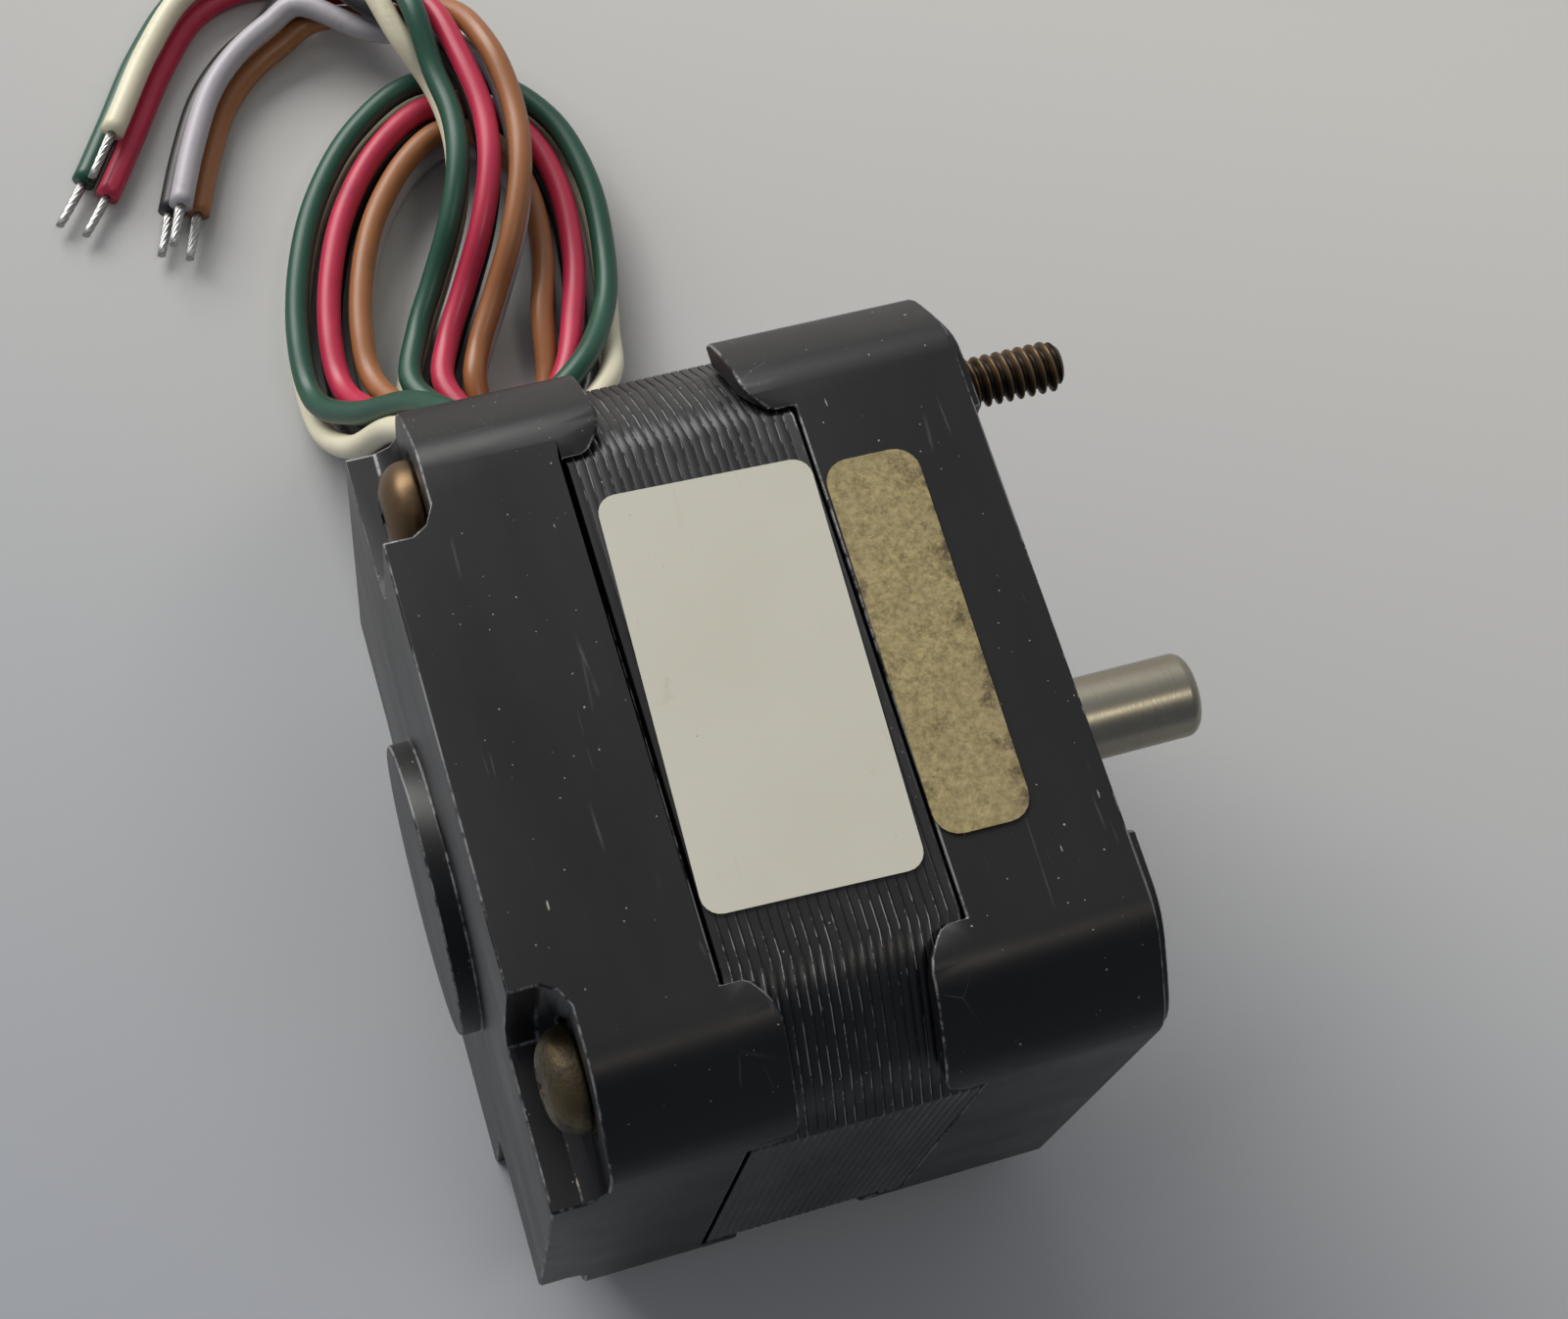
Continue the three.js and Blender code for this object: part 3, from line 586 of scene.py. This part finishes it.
def lacquer_material():
    """Satin black lacquer: faint orange peel, handling marks, dust and rubbed bright edges."""
    material, tree, bsdf, place = new_material("black_lacquer", IOR=1.5, Specular_IOR_Level=0.42)
    cloudy = noise(tree, place, 60.0, 4.0, 0.6)
    base = blended(tree, cloudy, linear((0.045, 0.046, 0.051)), linear((0.080, 0.081, 0.084)))
    dust = use(tree, dust_specks, Vector=place, Density=0.9, Size=1.1)
    scratch = use(tree, fine_scratches, Vector=place, Amount=0.45)
    worn = use(tree, rubbed_edges, Vector=place, Rim=attribute(tree, "rim"), Amount=0.9)
    base = blended(tree, scratch, base, linear((0.34, 0.34, 0.35)))
    base = blended(tree, worn, base, linear((0.56, 0.56, 0.56)))
    base = blended(tree, dust, base, linear(DUST))
    tree.links.new(base, bsdf.inputs["Base Color"])
    smear = noise(tree, stretched(tree, place, (1, 0.35, 1)), 140.0, 4.0, 0.6)
    rough = between(tree, smear, 0.3, 0.7, 0.34, 0.46)
    rough = plus(tree, rough, times(tree, dust, 0.4), clamp=True)
    tree.links.new(rough, bsdf.inputs["Roughness"])
    tree.links.new(times(tree, worn, 0.6), bsdf.inputs["Metallic"])
    peel = noise(tree, place, 2600.0, 3.0, 0.5)
    height = plus(tree, times(tree, peel, 0.35), times(tree, dust, 0.5))
    height = minus(tree, height, times(tree, scratch, 0.5))
    bump(tree, bsdf, height, 0.35, 0.02 * MM)
    return material


def lamination_lines(tree, parts):
    """Distance across each lamination from its rear joint, 0 to 1, and a mask of the turned-down corners."""
    pitch = (stack_high.x - stack_low.x) / LAMINATIONS
    along = math_node(tree, "DIVIDE", minus(tree, parts.outputs["X"], stack_low.x), pitch)
    across = math_node(tree, "FRACT", along)
    height = minus(tree, parts.outputs["Z"], AXIS_Z)
    square = times(tree, math_node(tree, "ABSOLUTE", parts.outputs["Y"]),
                       math_node(tree, "ABSOLUTE", height))
    corner = between(tree, square, (15.5 * MM) ** 2, (16.2 * MM) ** 2)
    return along, across, corner


def lamination_material():
    """Lacquered sheet steel: dark joints, each lamination its own shade, rubbed bright at the corners."""
    material, tree, bsdf, place = new_material("lamination_lacquer", IOR=1.5)
    parts = put(tree, "ShaderNodeSeparateXYZ", {0: place})
    along, across, corner = lamination_lines(tree, parts)
    each = put(tree, "ShaderNodeTexWhiteNoise", {"W": math_node(tree, "FLOOR", along)},
               noise_dimensions="1D").outputs["Value"]
    cloudy = noise(tree, stretched(tree, place, (1, 0.3, 0.3)), 260.0, 4.0, 0.6)
    base = blended(tree, cloudy, linear((0.050, 0.050, 0.055)), linear((0.11, 0.11, 0.11)))
    base = blended(tree, times(tree, each, 0.5), base, linear((0.085, 0.085, 0.09)))
    from_joint = math_node(tree, "ABSOLUTE", minus(tree, math_node(tree, "FRACT",
                           plus(tree, across, 0.5)), 0.5))
    joint = between(tree, from_joint, 0.13, 0.07)
    base = blended(tree, joint, base, linear((0.02, 0.02, 0.02)))
    edge = between(tree, math_node(tree, "ABSOLUTE", minus(tree, across, 0.83)), 0.07, 0.03)
    rubbed = between(tree, noise(tree, stretched(tree, place, (1, 0.5, 0.5)), 1300.0, 4.0, 0.7), 0.46, 0.56)
    some = between(tree, noise(tree, place, 130.0, 3.0, 0.6), 0.40, 0.50)
    chip = times(tree, times(tree, edge, rubbed), times(tree, some,
                     between(tree, corner, 0, 1, 0.10, 1.0)))
    dust = use(tree, dust_specks, Vector=place, Density=0.7, Size=0.9)
    base = blended(tree, chip, base, linear((0.60, 0.61, 0.63)))
    base = blended(tree, dust, base, linear((0.66, 0.65, 0.62)))
    tree.links.new(base, bsdf.inputs["Base Color"])
    tree.links.new(between(tree, cloudy, 0.3, 0.7, 0.30, 0.46), bsdf.inputs["Roughness"])
    tree.links.new(times(tree, chip, 0.6), bsdf.inputs["Metallic"])
    fine = noise(tree, stretched(tree, place, (4, 1, 1)), 1500.0, 3.0, 0.6)
    bump(tree, bsdf, plus(tree, fine, times(tree, dust, 0.5)), 0.15, 0.01 * MM)
    return material


def metal_material(name, dark, light, roughness, ring_scale=0.0, stain=None, stain_amount=0.4):
    """Metal with turned or ground lines round X, fine pitting and patchy tarnish."""
    material, tree, bsdf, place = new_material(name, Metallic=1.0)
    patch = noise(tree, place, 160.0, 5.0, 0.62)
    base = blended(tree, patch, linear(dark), linear(light))
    if stain:
        spread = between(tree, noise(tree, place, 420.0, 5.0, 0.7), 0.5, 0.68, 0.0, stain_amount)
        base = blended(tree, spread, base, linear(stain))
    tree.links.new(base, bsdf.inputs["Base Color"])
    if ring_scale:
        lines = noise(tree, stretched(tree, place, (ring_scale, 0.02, 0.02)), 1000.0, 4.0, 0.7)
    else:
        lines = noise(tree, place, 2400.0, 4.0, 0.6)
    low, high = roughness
    tree.links.new(between(tree, plus(tree, lines, times(tree, patch, 0.6)), 0.5, 1.1,
                           low, high), bsdf.inputs["Roughness"])
    bump(tree, bsdf, lines, 0.25, 0.008 * MM)
    return material


def shaft_material():
    """Ground steel: fine rings, a warm film of old oil and a few handling marks."""
    material, tree, bsdf, place = new_material("ground_shaft", Metallic=1.0)
    rings = noise(tree, stretched(tree, place, (9, 0.05, 0.05)), 900.0, 4.0, 0.7)
    film = noise(tree, stretched(tree, place, (0.5, 1, 1)), 170.0, 4.0, 0.6)
    base = blended(tree, film, linear((0.56, 0.53, 0.46)), linear((0.68, 0.66, 0.60)))
    scratch = use(tree, fine_scratches, Vector=place, Amount=0.5)
    base = blended(tree, scratch, base, linear((0.35, 0.33, 0.30)))
    tree.links.new(base, bsdf.inputs["Base Color"])
    tree.links.new(between(tree, rings, 0.3, 0.7, 0.24, 0.40), bsdf.inputs["Roughness"])
    bump(tree, bsdf, rings, 0.3, 0.006 * MM)
    return material


def head_material():
    """Dirty yellow zinc plate with patches of brown grime and a few dust specks."""
    material, tree, bsdf, place = new_material("zinc_plate")
    patch = noise(tree, place, 330.0, 5.0, 0.65)
    grime = between(tree, noise(tree, place, 620.0, 5.0, 0.7), 0.42, 0.62)
    base = blended(tree, patch, linear((0.45, 0.40, 0.29)), linear((0.33, 0.285, 0.20)))
    base = blended(tree, times(tree, grime, 0.85), base, linear((0.15, 0.11, 0.075)))
    dust = use(tree, dust_specks, Vector=place, Density=0.6, Size=0.7)
    base = blended(tree, dust, base, linear((0.7, 0.66, 0.55)))
    tree.links.new(base, bsdf.inputs["Base Color"])
    tree.links.new(between(tree, grime, 0.0, 1.0, 0.85, 0.25), bsdf.inputs["Metallic"])
    tree.links.new(between(tree, grime, 0.0, 1.0, 0.34, 0.62), bsdf.inputs["Roughness"])
    pits = noise(tree, place, 1500.0, 4.0, 0.65)
    bump(tree, bsdf, plus(tree, plus(tree, patch, grime), pits), 0.6, 0.05 * MM)
    return material


def thread_material():
    """Bronze-brown passivated thread, with painted shade in the roots and a painted highlight on the crests.
    """
    material, tree, bsdf, place = new_material("bronze_thread")
    patch = noise(tree, place, 500.0, 4.0, 0.6)
    base = blended(tree, patch, linear((0.25, 0.19, 0.135)), linear((0.38, 0.30, 0.215)))
    parts = put(tree, "ShaderNodeSeparateXYZ", {0: place})
    across = minus(tree, parts.outputs["Y"], SCREW_AT)
    up = minus(tree, parts.outputs["Z"], AXIS_Z + SCREW_AT)
    out = math_node(tree, "SQRT", plus(tree, times(tree, across, across),
                    times(tree, up, up)))
    crest = between(tree, out, 1.27 * MM, 1.40 * MM)
    # Painted shade: the colour darkens towards the thread roots.
    base = blended(tree, between(tree, out, 1.22 * MM, 1.08 * MM), base, linear((0.12, 0.09, 0.065)))
    # Painted highlight: the colour lightens on the crests.
    base = blended(tree, times(tree, crest, 0.5), base, linear((0.47, 0.38, 0.27)))
    tree.links.new(base, bsdf.inputs["Base Color"])
    tree.links.new(between(tree, patch, 0.3, 0.7, 0.9, 0.6), bsdf.inputs["Metallic"])
    tree.links.new(between(tree, patch, 0.3, 0.7, 0.32, 0.52), bsdf.inputs["Roughness"])
    bump(tree, bsdf, patch, 0.3, 0.02 * MM)
    return material


def white_label_material():
    """Bare off-white label stock: semi-gloss, faintly yellowed, with a few stains and scuffs."""
    material, tree, bsdf, place = new_material("white_label", IOR=1.48)
    cloudy = noise(tree, place, 70.0, 4.0, 0.55)
    base = blended(tree, cloudy, linear((0.725, 0.712, 0.655)), linear((0.765, 0.755, 0.70)))
    stain = between(tree, noise(tree, place, 240.0, 6.0, 0.7), 0.64, 0.74)
    base = blended(tree, times(tree, stain, 0.35), base, linear((0.62, 0.56, 0.42)))
    specks = use(tree, dust_specks, Vector=place, Density=0.28, Size=0.7)
    base = blended(tree, times(tree, specks, 0.8), base, linear((0.30, 0.24, 0.17)))
    scratch = use(tree, fine_scratches, Vector=place, Amount=0.25)
    base = blended(tree, scratch, base, linear((0.66, 0.64, 0.58)))
    tree.links.new(base, bsdf.inputs["Base Color"])
    tree.links.new(between(tree, cloudy, 0.3, 0.7, 0.42, 0.58), bsdf.inputs["Roughness"])
    fibre = noise(tree, place, 1900.0, 4.0, 0.6)
    bump(tree, bsdf, fibre, 0.25, 0.01 * MM)
    return material


def tan_label_material():
    """Bare tan label: mottled like coarse paper, browner and dirtier towards its far long edge."""
    material, tree, bsdf, place = new_material("tan_label", Specular_IOR_Level=0.35)
    coarse = noise(tree, place, 2600.0, 6.0, 0.78)
    cloudy = noise(tree, place, 130.0, 4.0, 0.6)
    base = blended(tree, between(tree, coarse, 0.35, 0.65),
                   linear((0.43, 0.38, 0.24)), linear((0.67, 0.61, 0.43)))
    base = blended(tree, between(tree, cloudy, 0.45, 0.7, 0, 0.6), base, linear((0.56, 0.50, 0.37)))
    low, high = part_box("label_tan")
    along = put(tree, "ShaderNodeSeparateXYZ", {0: place}).outputs["X"]
    far_edge = between(tree, along, high.x - 1.5 * MM, high.x, 0, 0.16)
    near_edge = between(tree, along, low.x + 0.5 * MM, low.x, 0, 0.10)
    soiled = plus(tree, noise(tree, place, 620.0, 6.0, 0.75), plus(tree, far_edge, near_edge))
    grime = between(tree, soiled, 0.58, 0.72, 0, 0.85)
    base = blended(tree, grime, base, linear((0.25, 0.20, 0.13)))
    specks = use(tree, dust_specks, Vector=place, Density=0.8, Size=0.55)
    base = blended(tree, times(tree, specks, 0.6), base, linear((0.20, 0.15, 0.10)))
    tree.links.new(base, bsdf.inputs["Base Color"])
    tree.links.new(between(tree, coarse, 0.3, 0.7, 0.5, 0.8), bsdf.inputs["Roughness"])
    bump(tree, bsdf, coarse, 0.4, 0.03 * MM)
    return material


def lead_material(name, dark, light):
    """Coloured PVC: a soft gloss, slight draw lines along the wire and grubby patches."""
    material, tree, bsdf, place = new_material(name, IOR=1.53)
    along = tree.nodes.new("ShaderNodeUVMap")
    along.uv_map = "along"
    patch = noise(tree, place, 120.0, 4.0, 0.6)
    base = blended(tree, patch, linear(dark), linear(light))
    grime = between(tree, noise(tree, place, 300.0, 5.0, 0.7), 0.58, 0.75, 0, 0.35)
    base = blended(tree, grime, base, linear(tuple(c * 0.55 for c in dark)))
    tree.links.new(base, bsdf.inputs["Base Color"])
    tree.links.new(between(tree, patch, 0.3, 0.7, 0.34, 0.48), bsdf.inputs["Roughness"])
    draw = noise(tree, stretched(tree, along.outputs[0], (120, 14, 1)), 1.0, 3.0, 0.6)
    bump(tree, bsdf, draw, 0.25, 0.02 * MM)
    return material


def plain_finish(name, dark, light, roughness, metallic=0.0, scale=300.0, depth=0.02):
    """Two-tone finish with matching bump, for the pieces inside."""
    material, tree, bsdf, place = new_material(name, Metallic=metallic)
    patch = noise(tree, place, scale, 4.0, 0.6)
    tree.links.new(blended(tree, patch, linear(dark), linear(light)), bsdf.inputs["Base Color"])
    tree.links.new(between(tree, patch, 0.3, 0.7, *roughness), bsdf.inputs["Roughness"])
    bump(tree, bsdf, noise(tree, place, scale * 6, 3.0, 0.6), 0.3, depth * MM)
    return material


def winding_material():
    """Enamelled wire laid side by side: ridges that run the long way round each coil."""
    material, tree, bsdf, place = new_material("enamelled_wire", Metallic=0.9)
    parts = put(tree, "ShaderNodeSeparateXYZ", {0: place})
    height = minus(tree, parts.outputs["Z"], AXIS_Z)
    out = math_node(tree, "SQRT", plus(tree, times(tree, parts.outputs["Y"],
                    parts.outputs["Y"]), times(tree, height, height)))
    ridge = math_node(tree, "ABSOLUTE", math_node(tree, "SINE", times(tree, out, math.pi / (0.3 * MM))))
    tone = noise(tree, place, 260.0, 3.0, 0.6)
    tree.links.new(blended(tree, tone, linear((0.50, 0.24, 0.10)), linear((0.66, 0.36, 0.17))),
                   bsdf.inputs["Base Color"])
    tree.links.new(between(tree, ridge, 0, 1, 0.45, 0.25), bsdf.inputs["Roughness"])
    bump(tree, bsdf, ridge, 0.8, 0.08 * MM)
    return material


lacquer = lacquer_material()
lamination = lamination_material()
ground_shaft = shaft_material()
zinc_plate = head_material()
bronze_thread = thread_material()
white_paper = white_label_material()
tan_paper = tan_label_material()
tinned = metal_material("tinned_strands", (0.62, 0.62, 0.60), (0.78, 0.78, 0.77), (0.28, 0.5))
bearing_steel = metal_material("bearing_steel", (0.58, 0.58, 0.58), (0.68, 0.68, 0.69), (0.16, 0.3),
                               ring_scale=6.0)
rotor_steel = metal_material("rotor_steel", (0.46, 0.45, 0.44), (0.58, 0.57, 0.56), (0.32, 0.5),
                             ring_scale=4.0, stain=(0.35, 0.27, 0.2))
magnet_grey = plain_finish("sintered_magnet", (0.26, 0.27, 0.28), (0.36, 0.36, 0.37), (0.45, 0.6), 0.7, 700.0)
nylon = plain_finish("nylon", (0.76, 0.73, 0.64), (0.83, 0.80, 0.71), (0.45, 0.6), 0.0, 200.0)
grommet_rubber = plain_finish("grommet_rubber", (0.09, 0.09, 0.095), (0.14, 0.14, 0.14), (0.55, 0.75),
                              scale=400.0)
copper_wire = winding_material()
LEAD_COLOURS = {
    "lead_green": ((0.075, 0.245, 0.19), (0.10, 0.31, 0.23)),
    "lead_cream": ((0.80, 0.77, 0.66), (0.88, 0.86, 0.76)),
    "lead_red": ((0.66, 0.12, 0.24), (0.76, 0.17, 0.30)),
    "lead_black": ((0.10, 0.10, 0.105), (0.15, 0.15, 0.16)),
    "lead_brown": ((0.53, 0.33, 0.18), (0.63, 0.41, 0.25)),
    "lead_grey": ((0.62, 0.60, 0.63), (0.70, 0.68, 0.70)),
}

# ---------------------------------------------------------------- the leads

for row in LEADS:
    insulation, strands = lead_piece(*row)
    insulation.data.materials.append(lead_material(row[0], *LEAD_COLOURS[row[0]]))
    strands.data.materials.append(tinned)

# ---------------------------------------------------------------- end bells and stack

def bell(node, name):
    obj = copy_of(node, name)
    eased(obj, 0.16 * MM)
    return own(obj, "stator", lacquer, "black_lacquer", node)


def stack():
    obj = copy_of("stator_stack", "lamination_stack")
    smoothed(obj, 35)
    return own(obj, "stator", lamination, "lamination", "stator_stack")


bell("rear_end_bell", "rear_bell")
bell("front_end_bell", "front_bell")
stack()

# ---------------------------------------------------------------- shaft and screws

def arc(centre_x, centre_r, size_x, size_r, start, stop, steps):
    """Points of an elliptic arc in the (x, radius) plane, angles in degrees from +X."""
    turns = [math.radians(start + (stop - start) * k / steps) for k in range(steps + 1)]
    return [(centre_x + size_x * math.cos(t), centre_r + size_r * math.sin(t)) for t in turns]


def turned_shaft():
    """Ground shaft with a broken end edge and a small centre mark."""
    radius = (shaft_high.z - shaft_low.z) / 2
    end, start = shaft_high.x, shaft_low.x
    ease = 0.7 * MM
    profile = [(start, 0), (start, radius - 0.5 * MM), (start + 0.5 * MM, radius)]
    profile += arc(end - ease, radius - ease, ease, ease, 90, 0, 8)
    profile += [(end, 0.5 * MM), (end - 0.4 * MM, 0)]
    obj = turned_piece("turned_shaft", profile, steps=112)
    smoothed(obj, 30)
    return own(obj, "rotor", ground_shaft, "ground_steel", "shaft")


def screw_head(name, top, radius, y, z, shank, end):
    """Pan head with a tapered cross recess, on its plain shank."""
    seat = top + HEAD_H
    dome = arc(top + HEAD_H * 0.74, radius * 0.25, HEAD_H * 0.74, radius * 0.75, 180, 90, 12)
    profile = [(top, 0), *dome, (seat - 0.12 * MM, radius), (seat, radius - 0.12 * MM)]
    profile += [(seat, shank + 0.1 * MM), (seat + 0.1 * MM, shank)]
    profile += [(end - 0.3 * MM, shank), (end, shank - 0.3 * MM)]
    obj = turned_piece(name, [*profile, (end, 0)], y, z, steps=56)
    for turn in (0, 90):
        bpy.ops.object.select_all(action="DESELECT")
        bpy.ops.mesh.primitive_cube_add(size=1, location=(top + 0.1 * MM, y, z))
        bar = named(f"recess_{turn}")
        bar.scale = (1.9 * MM, 2.5 * MM, 0.62 * MM)
        bar.rotation_euler = (math.radians(turn + 18), 0, 0)
        settle(bar)
        only(bar)
        bpy.ops.object.mode_set(mode="EDIT")
        bpy.ops.mesh.select_mode(type="FACE")
        bpy.ops.mesh.select_all(action="DESELECT")
        bpy.ops.object.mode_set(mode="OBJECT")
        for face in bar.data.polygons:
            face.select = face.normal.x > 0.9
        bpy.ops.object.mode_set(mode="EDIT")
        bpy.ops.transform.resize(value=(1, 0.5, 0.55), center_override=(top, y, z))
        bpy.ops.object.mode_set(mode="OBJECT")
        cut(obj, bar)
    eased(obj, 0.07 * MM, angle=40)
    return obj


def pan_screw(node, name):
    low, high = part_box(node)
    y, z = (low.y + high.y) / 2, (low.z + high.z) / 2
    obj = screw_head(name, low.x, (high.y - low.y) / 2, y, z, SHANK_R, high.x)
    return own(obj, "stator", zinc_plate, "zinc_yellow", node)


def rolled_thread(name, start, end, y, z):
    """Rolled thread: one turn's profile swept up the helix, then trimmed square with a lead-in at its end."""
    pitch = SCREW_PITCH
    crest, root = SCREW_R, SCREW_R - 0.56 * pitch
    turn = [(0, root), (0.10, root), (0.20, root + 0.1 * pitch), (0.40, crest - 0.03 * pitch), (0.46, crest)]
    turn += [(0.54, crest), (0.60, crest - 0.03 * pitch), (0.80, root + 0.1 * pitch), (0.90, root), (1, root)]
    turns = math.ceil((end - start) / pitch) + 3
    obj = drawn_line(name, [(start + pitch * (t - 2), 0, r) for t, r in turn])
    modify(obj, "SCREW", axis="X", steps=36, render_steps=36, screw_offset=pitch, iterations=turns,
           use_merge_vertices=True, merge_threshold=0.001 * MM)
    only(obj)
    bpy.ops.object.mode_set(mode="EDIT")
    bpy.ops.mesh.select_all(action="SELECT")
    bpy.ops.mesh.remove_doubles(threshold=0.002 * MM)
    bpy.ops.mesh.fill_holes(sides=0)
    bpy.ops.mesh.normals_make_consistent(inside=False)
    bpy.ops.object.mode_set(mode="OBJECT")
    wide = crest + 0.2 * MM
    trim = turned_piece("trim", [(start, 0), (start, wide), (end - 0.62 * MM, wide), (end, crest - 0.42 * MM),
                                 (end, 0)], steps=48)
    moved(obj, (0, 0, AXIS_Z))
    cut(obj, trim, "INTERSECT")
    moved(obj, (0, y, z - AXIS_Z))
    smoothed(obj, 50)
    return obj


def long_screw():
    """The one assembly screw that comes out of the front bell."""
    low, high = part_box("screw_long")
    y, z = (low.y + high.y) / 2, (low.z + high.z) / 2
    start = high.x - 8 * MM
    head = screw_head("long_screw", low.x, (high.y - low.y) / 2, y, z, SHANK_R, start + 0.5 * MM)
    thread = rolled_thread("long_screw_thread", start, high.x, y, z)
    obj = joined([head, thread], "long_screw")
    return own(obj, "stator", bronze_thread, "bronze_steel", "screw_long")


turned_shaft()
for place_name in ("top_near", "bottom_near", "bottom_far"):
    pan_screw(f"screw_{place_name}", f"pan_screw_{place_name}")
long_screw()

# ---------------------------------------------------------------- carried-over pieces

def finish_nodes(material, *names):
    for name in names:
        data = nodes[name].data
        data.materials.clear()
        data.materials.append(material)


finish_nodes(copper_wire, *[f"coil_{k}" for k in range(1, 9)])
finish_nodes(nylon, "rear_insulator", "front_insulator")
finish_nodes(rotor_steel, "rear_rotor_cup", "front_rotor_cup", "rear_spacer", "front_spacer")
finish_nodes(magnet_grey, "rotor_magnet")
for end in ("rear", "front"):
    finish_nodes(bearing_steel, f"{end}_bearing_outer", f"{end}_bearing_inner", f"{end}_bearing_balls")
finish_nodes(bearing_steel, "wave_washer")
finish_nodes(grommet_rubber, "lead_grommet")
finish_nodes(white_paper, "label_white")
finish_nodes(tan_paper, "label_tan")

# ---------------------------------------------------------------- stage and light

def paper_floor():
    """Pale paper painted with light and shade: lighter and warmer far away, darker and cooler towards the
    near left, and faded to a mid grey far from the floor's middle.
    """
    bpy.ops.mesh.primitive_plane_add(size=6, location=(0, 0, 0))
    floor = named("paper_floor")
    material, tree, bsdf, place = new_material("pale_paper", Roughness=0.9, Specular_IOR_Level=0.0)
    parts = put(tree, "ShaderNodeSeparateXYZ", {0: place})
    # Painted light and shade: the floor colour runs from darker and cooler at the near left to lighter and
    # warmer far away.
    light_slant = plus(tree, parts.outputs["Y"], times(tree, parts.outputs["X"], 0.7))
    base = blended(tree, between(tree, light_slant, -0.08, 0.09),
                   linear((0.60, 0.62, 0.655)), linear((0.765, 0.757, 0.738)))
    # Painted falloff of light: the floor colour fades to a mid grey with distance from the floor's middle.
    away = put(tree, "ShaderNodeVectorMath", {0: place}, operation="LENGTH").outputs["Value"]
    base = blended(tree, between(tree, away, 0.12, 0.6), base, linear((0.62, 0.615, 0.60)))
    tree.links.new(base, bsdf.inputs["Base Color"])
    bump(tree, bsdf, noise(tree, place, 900.0, 4.0, 0.6), 0.15, 0.05 * MM)
    floor.data.materials.append(material)


def area_light(name, at, aim, size, power, colour):
    light = bpy.data.lights.new(name, "AREA")
    light.shape = "RECTANGLE"
    light.size, light.size_y = size
    light.energy = power
    light.color = colour
    holder = bpy.data.objects.new(name, light)
    bpy.context.scene.collection.objects.link(holder)
    holder.location = at
    holder.rotation_euler = (Vector(aim) - Vector(at)).to_track_quat("-Z", "Y").to_euler()


def studio():
    """Soft room light that fades from the window side to the near side, and one large window."""
    world = bpy.data.worlds.new("room")
    world.use_nodes = True
    tree = world.node_tree
    way = put(tree, "ShaderNodeSeparateXYZ", {0: tree.nodes.new("ShaderNodeTexCoord").outputs["Generated"]})
    tilt = minus(tree, times(tree, way.outputs["Y"], 0.95),
                     times(tree, way.outputs["Z"], 0.2))
    level = between(tree, tilt, -0.7, 0.95)
    room = blended(tree, level, (0.135, 0.148, 0.18, 1), (0.60, 0.61, 0.64, 1))
    tree.links.new(room, tree.nodes["Background"].inputs["Color"])
    bpy.context.scene.world = world
    area_light("window", (-0.30, 0.80, 0.62), (0, 0, 0.02), (0.9, 0.6), 12.3, (1.0, 0.985, 0.95))
    area_light("lamp", (0.22, -0.30, 0.90), (0, 0, 0.02), (0.34, 0.07), 0.8, (1.0, 0.92, 0.76))
    bpy.context.scene.view_settings.view_transform = "Standard"


paper_floor()
studio()
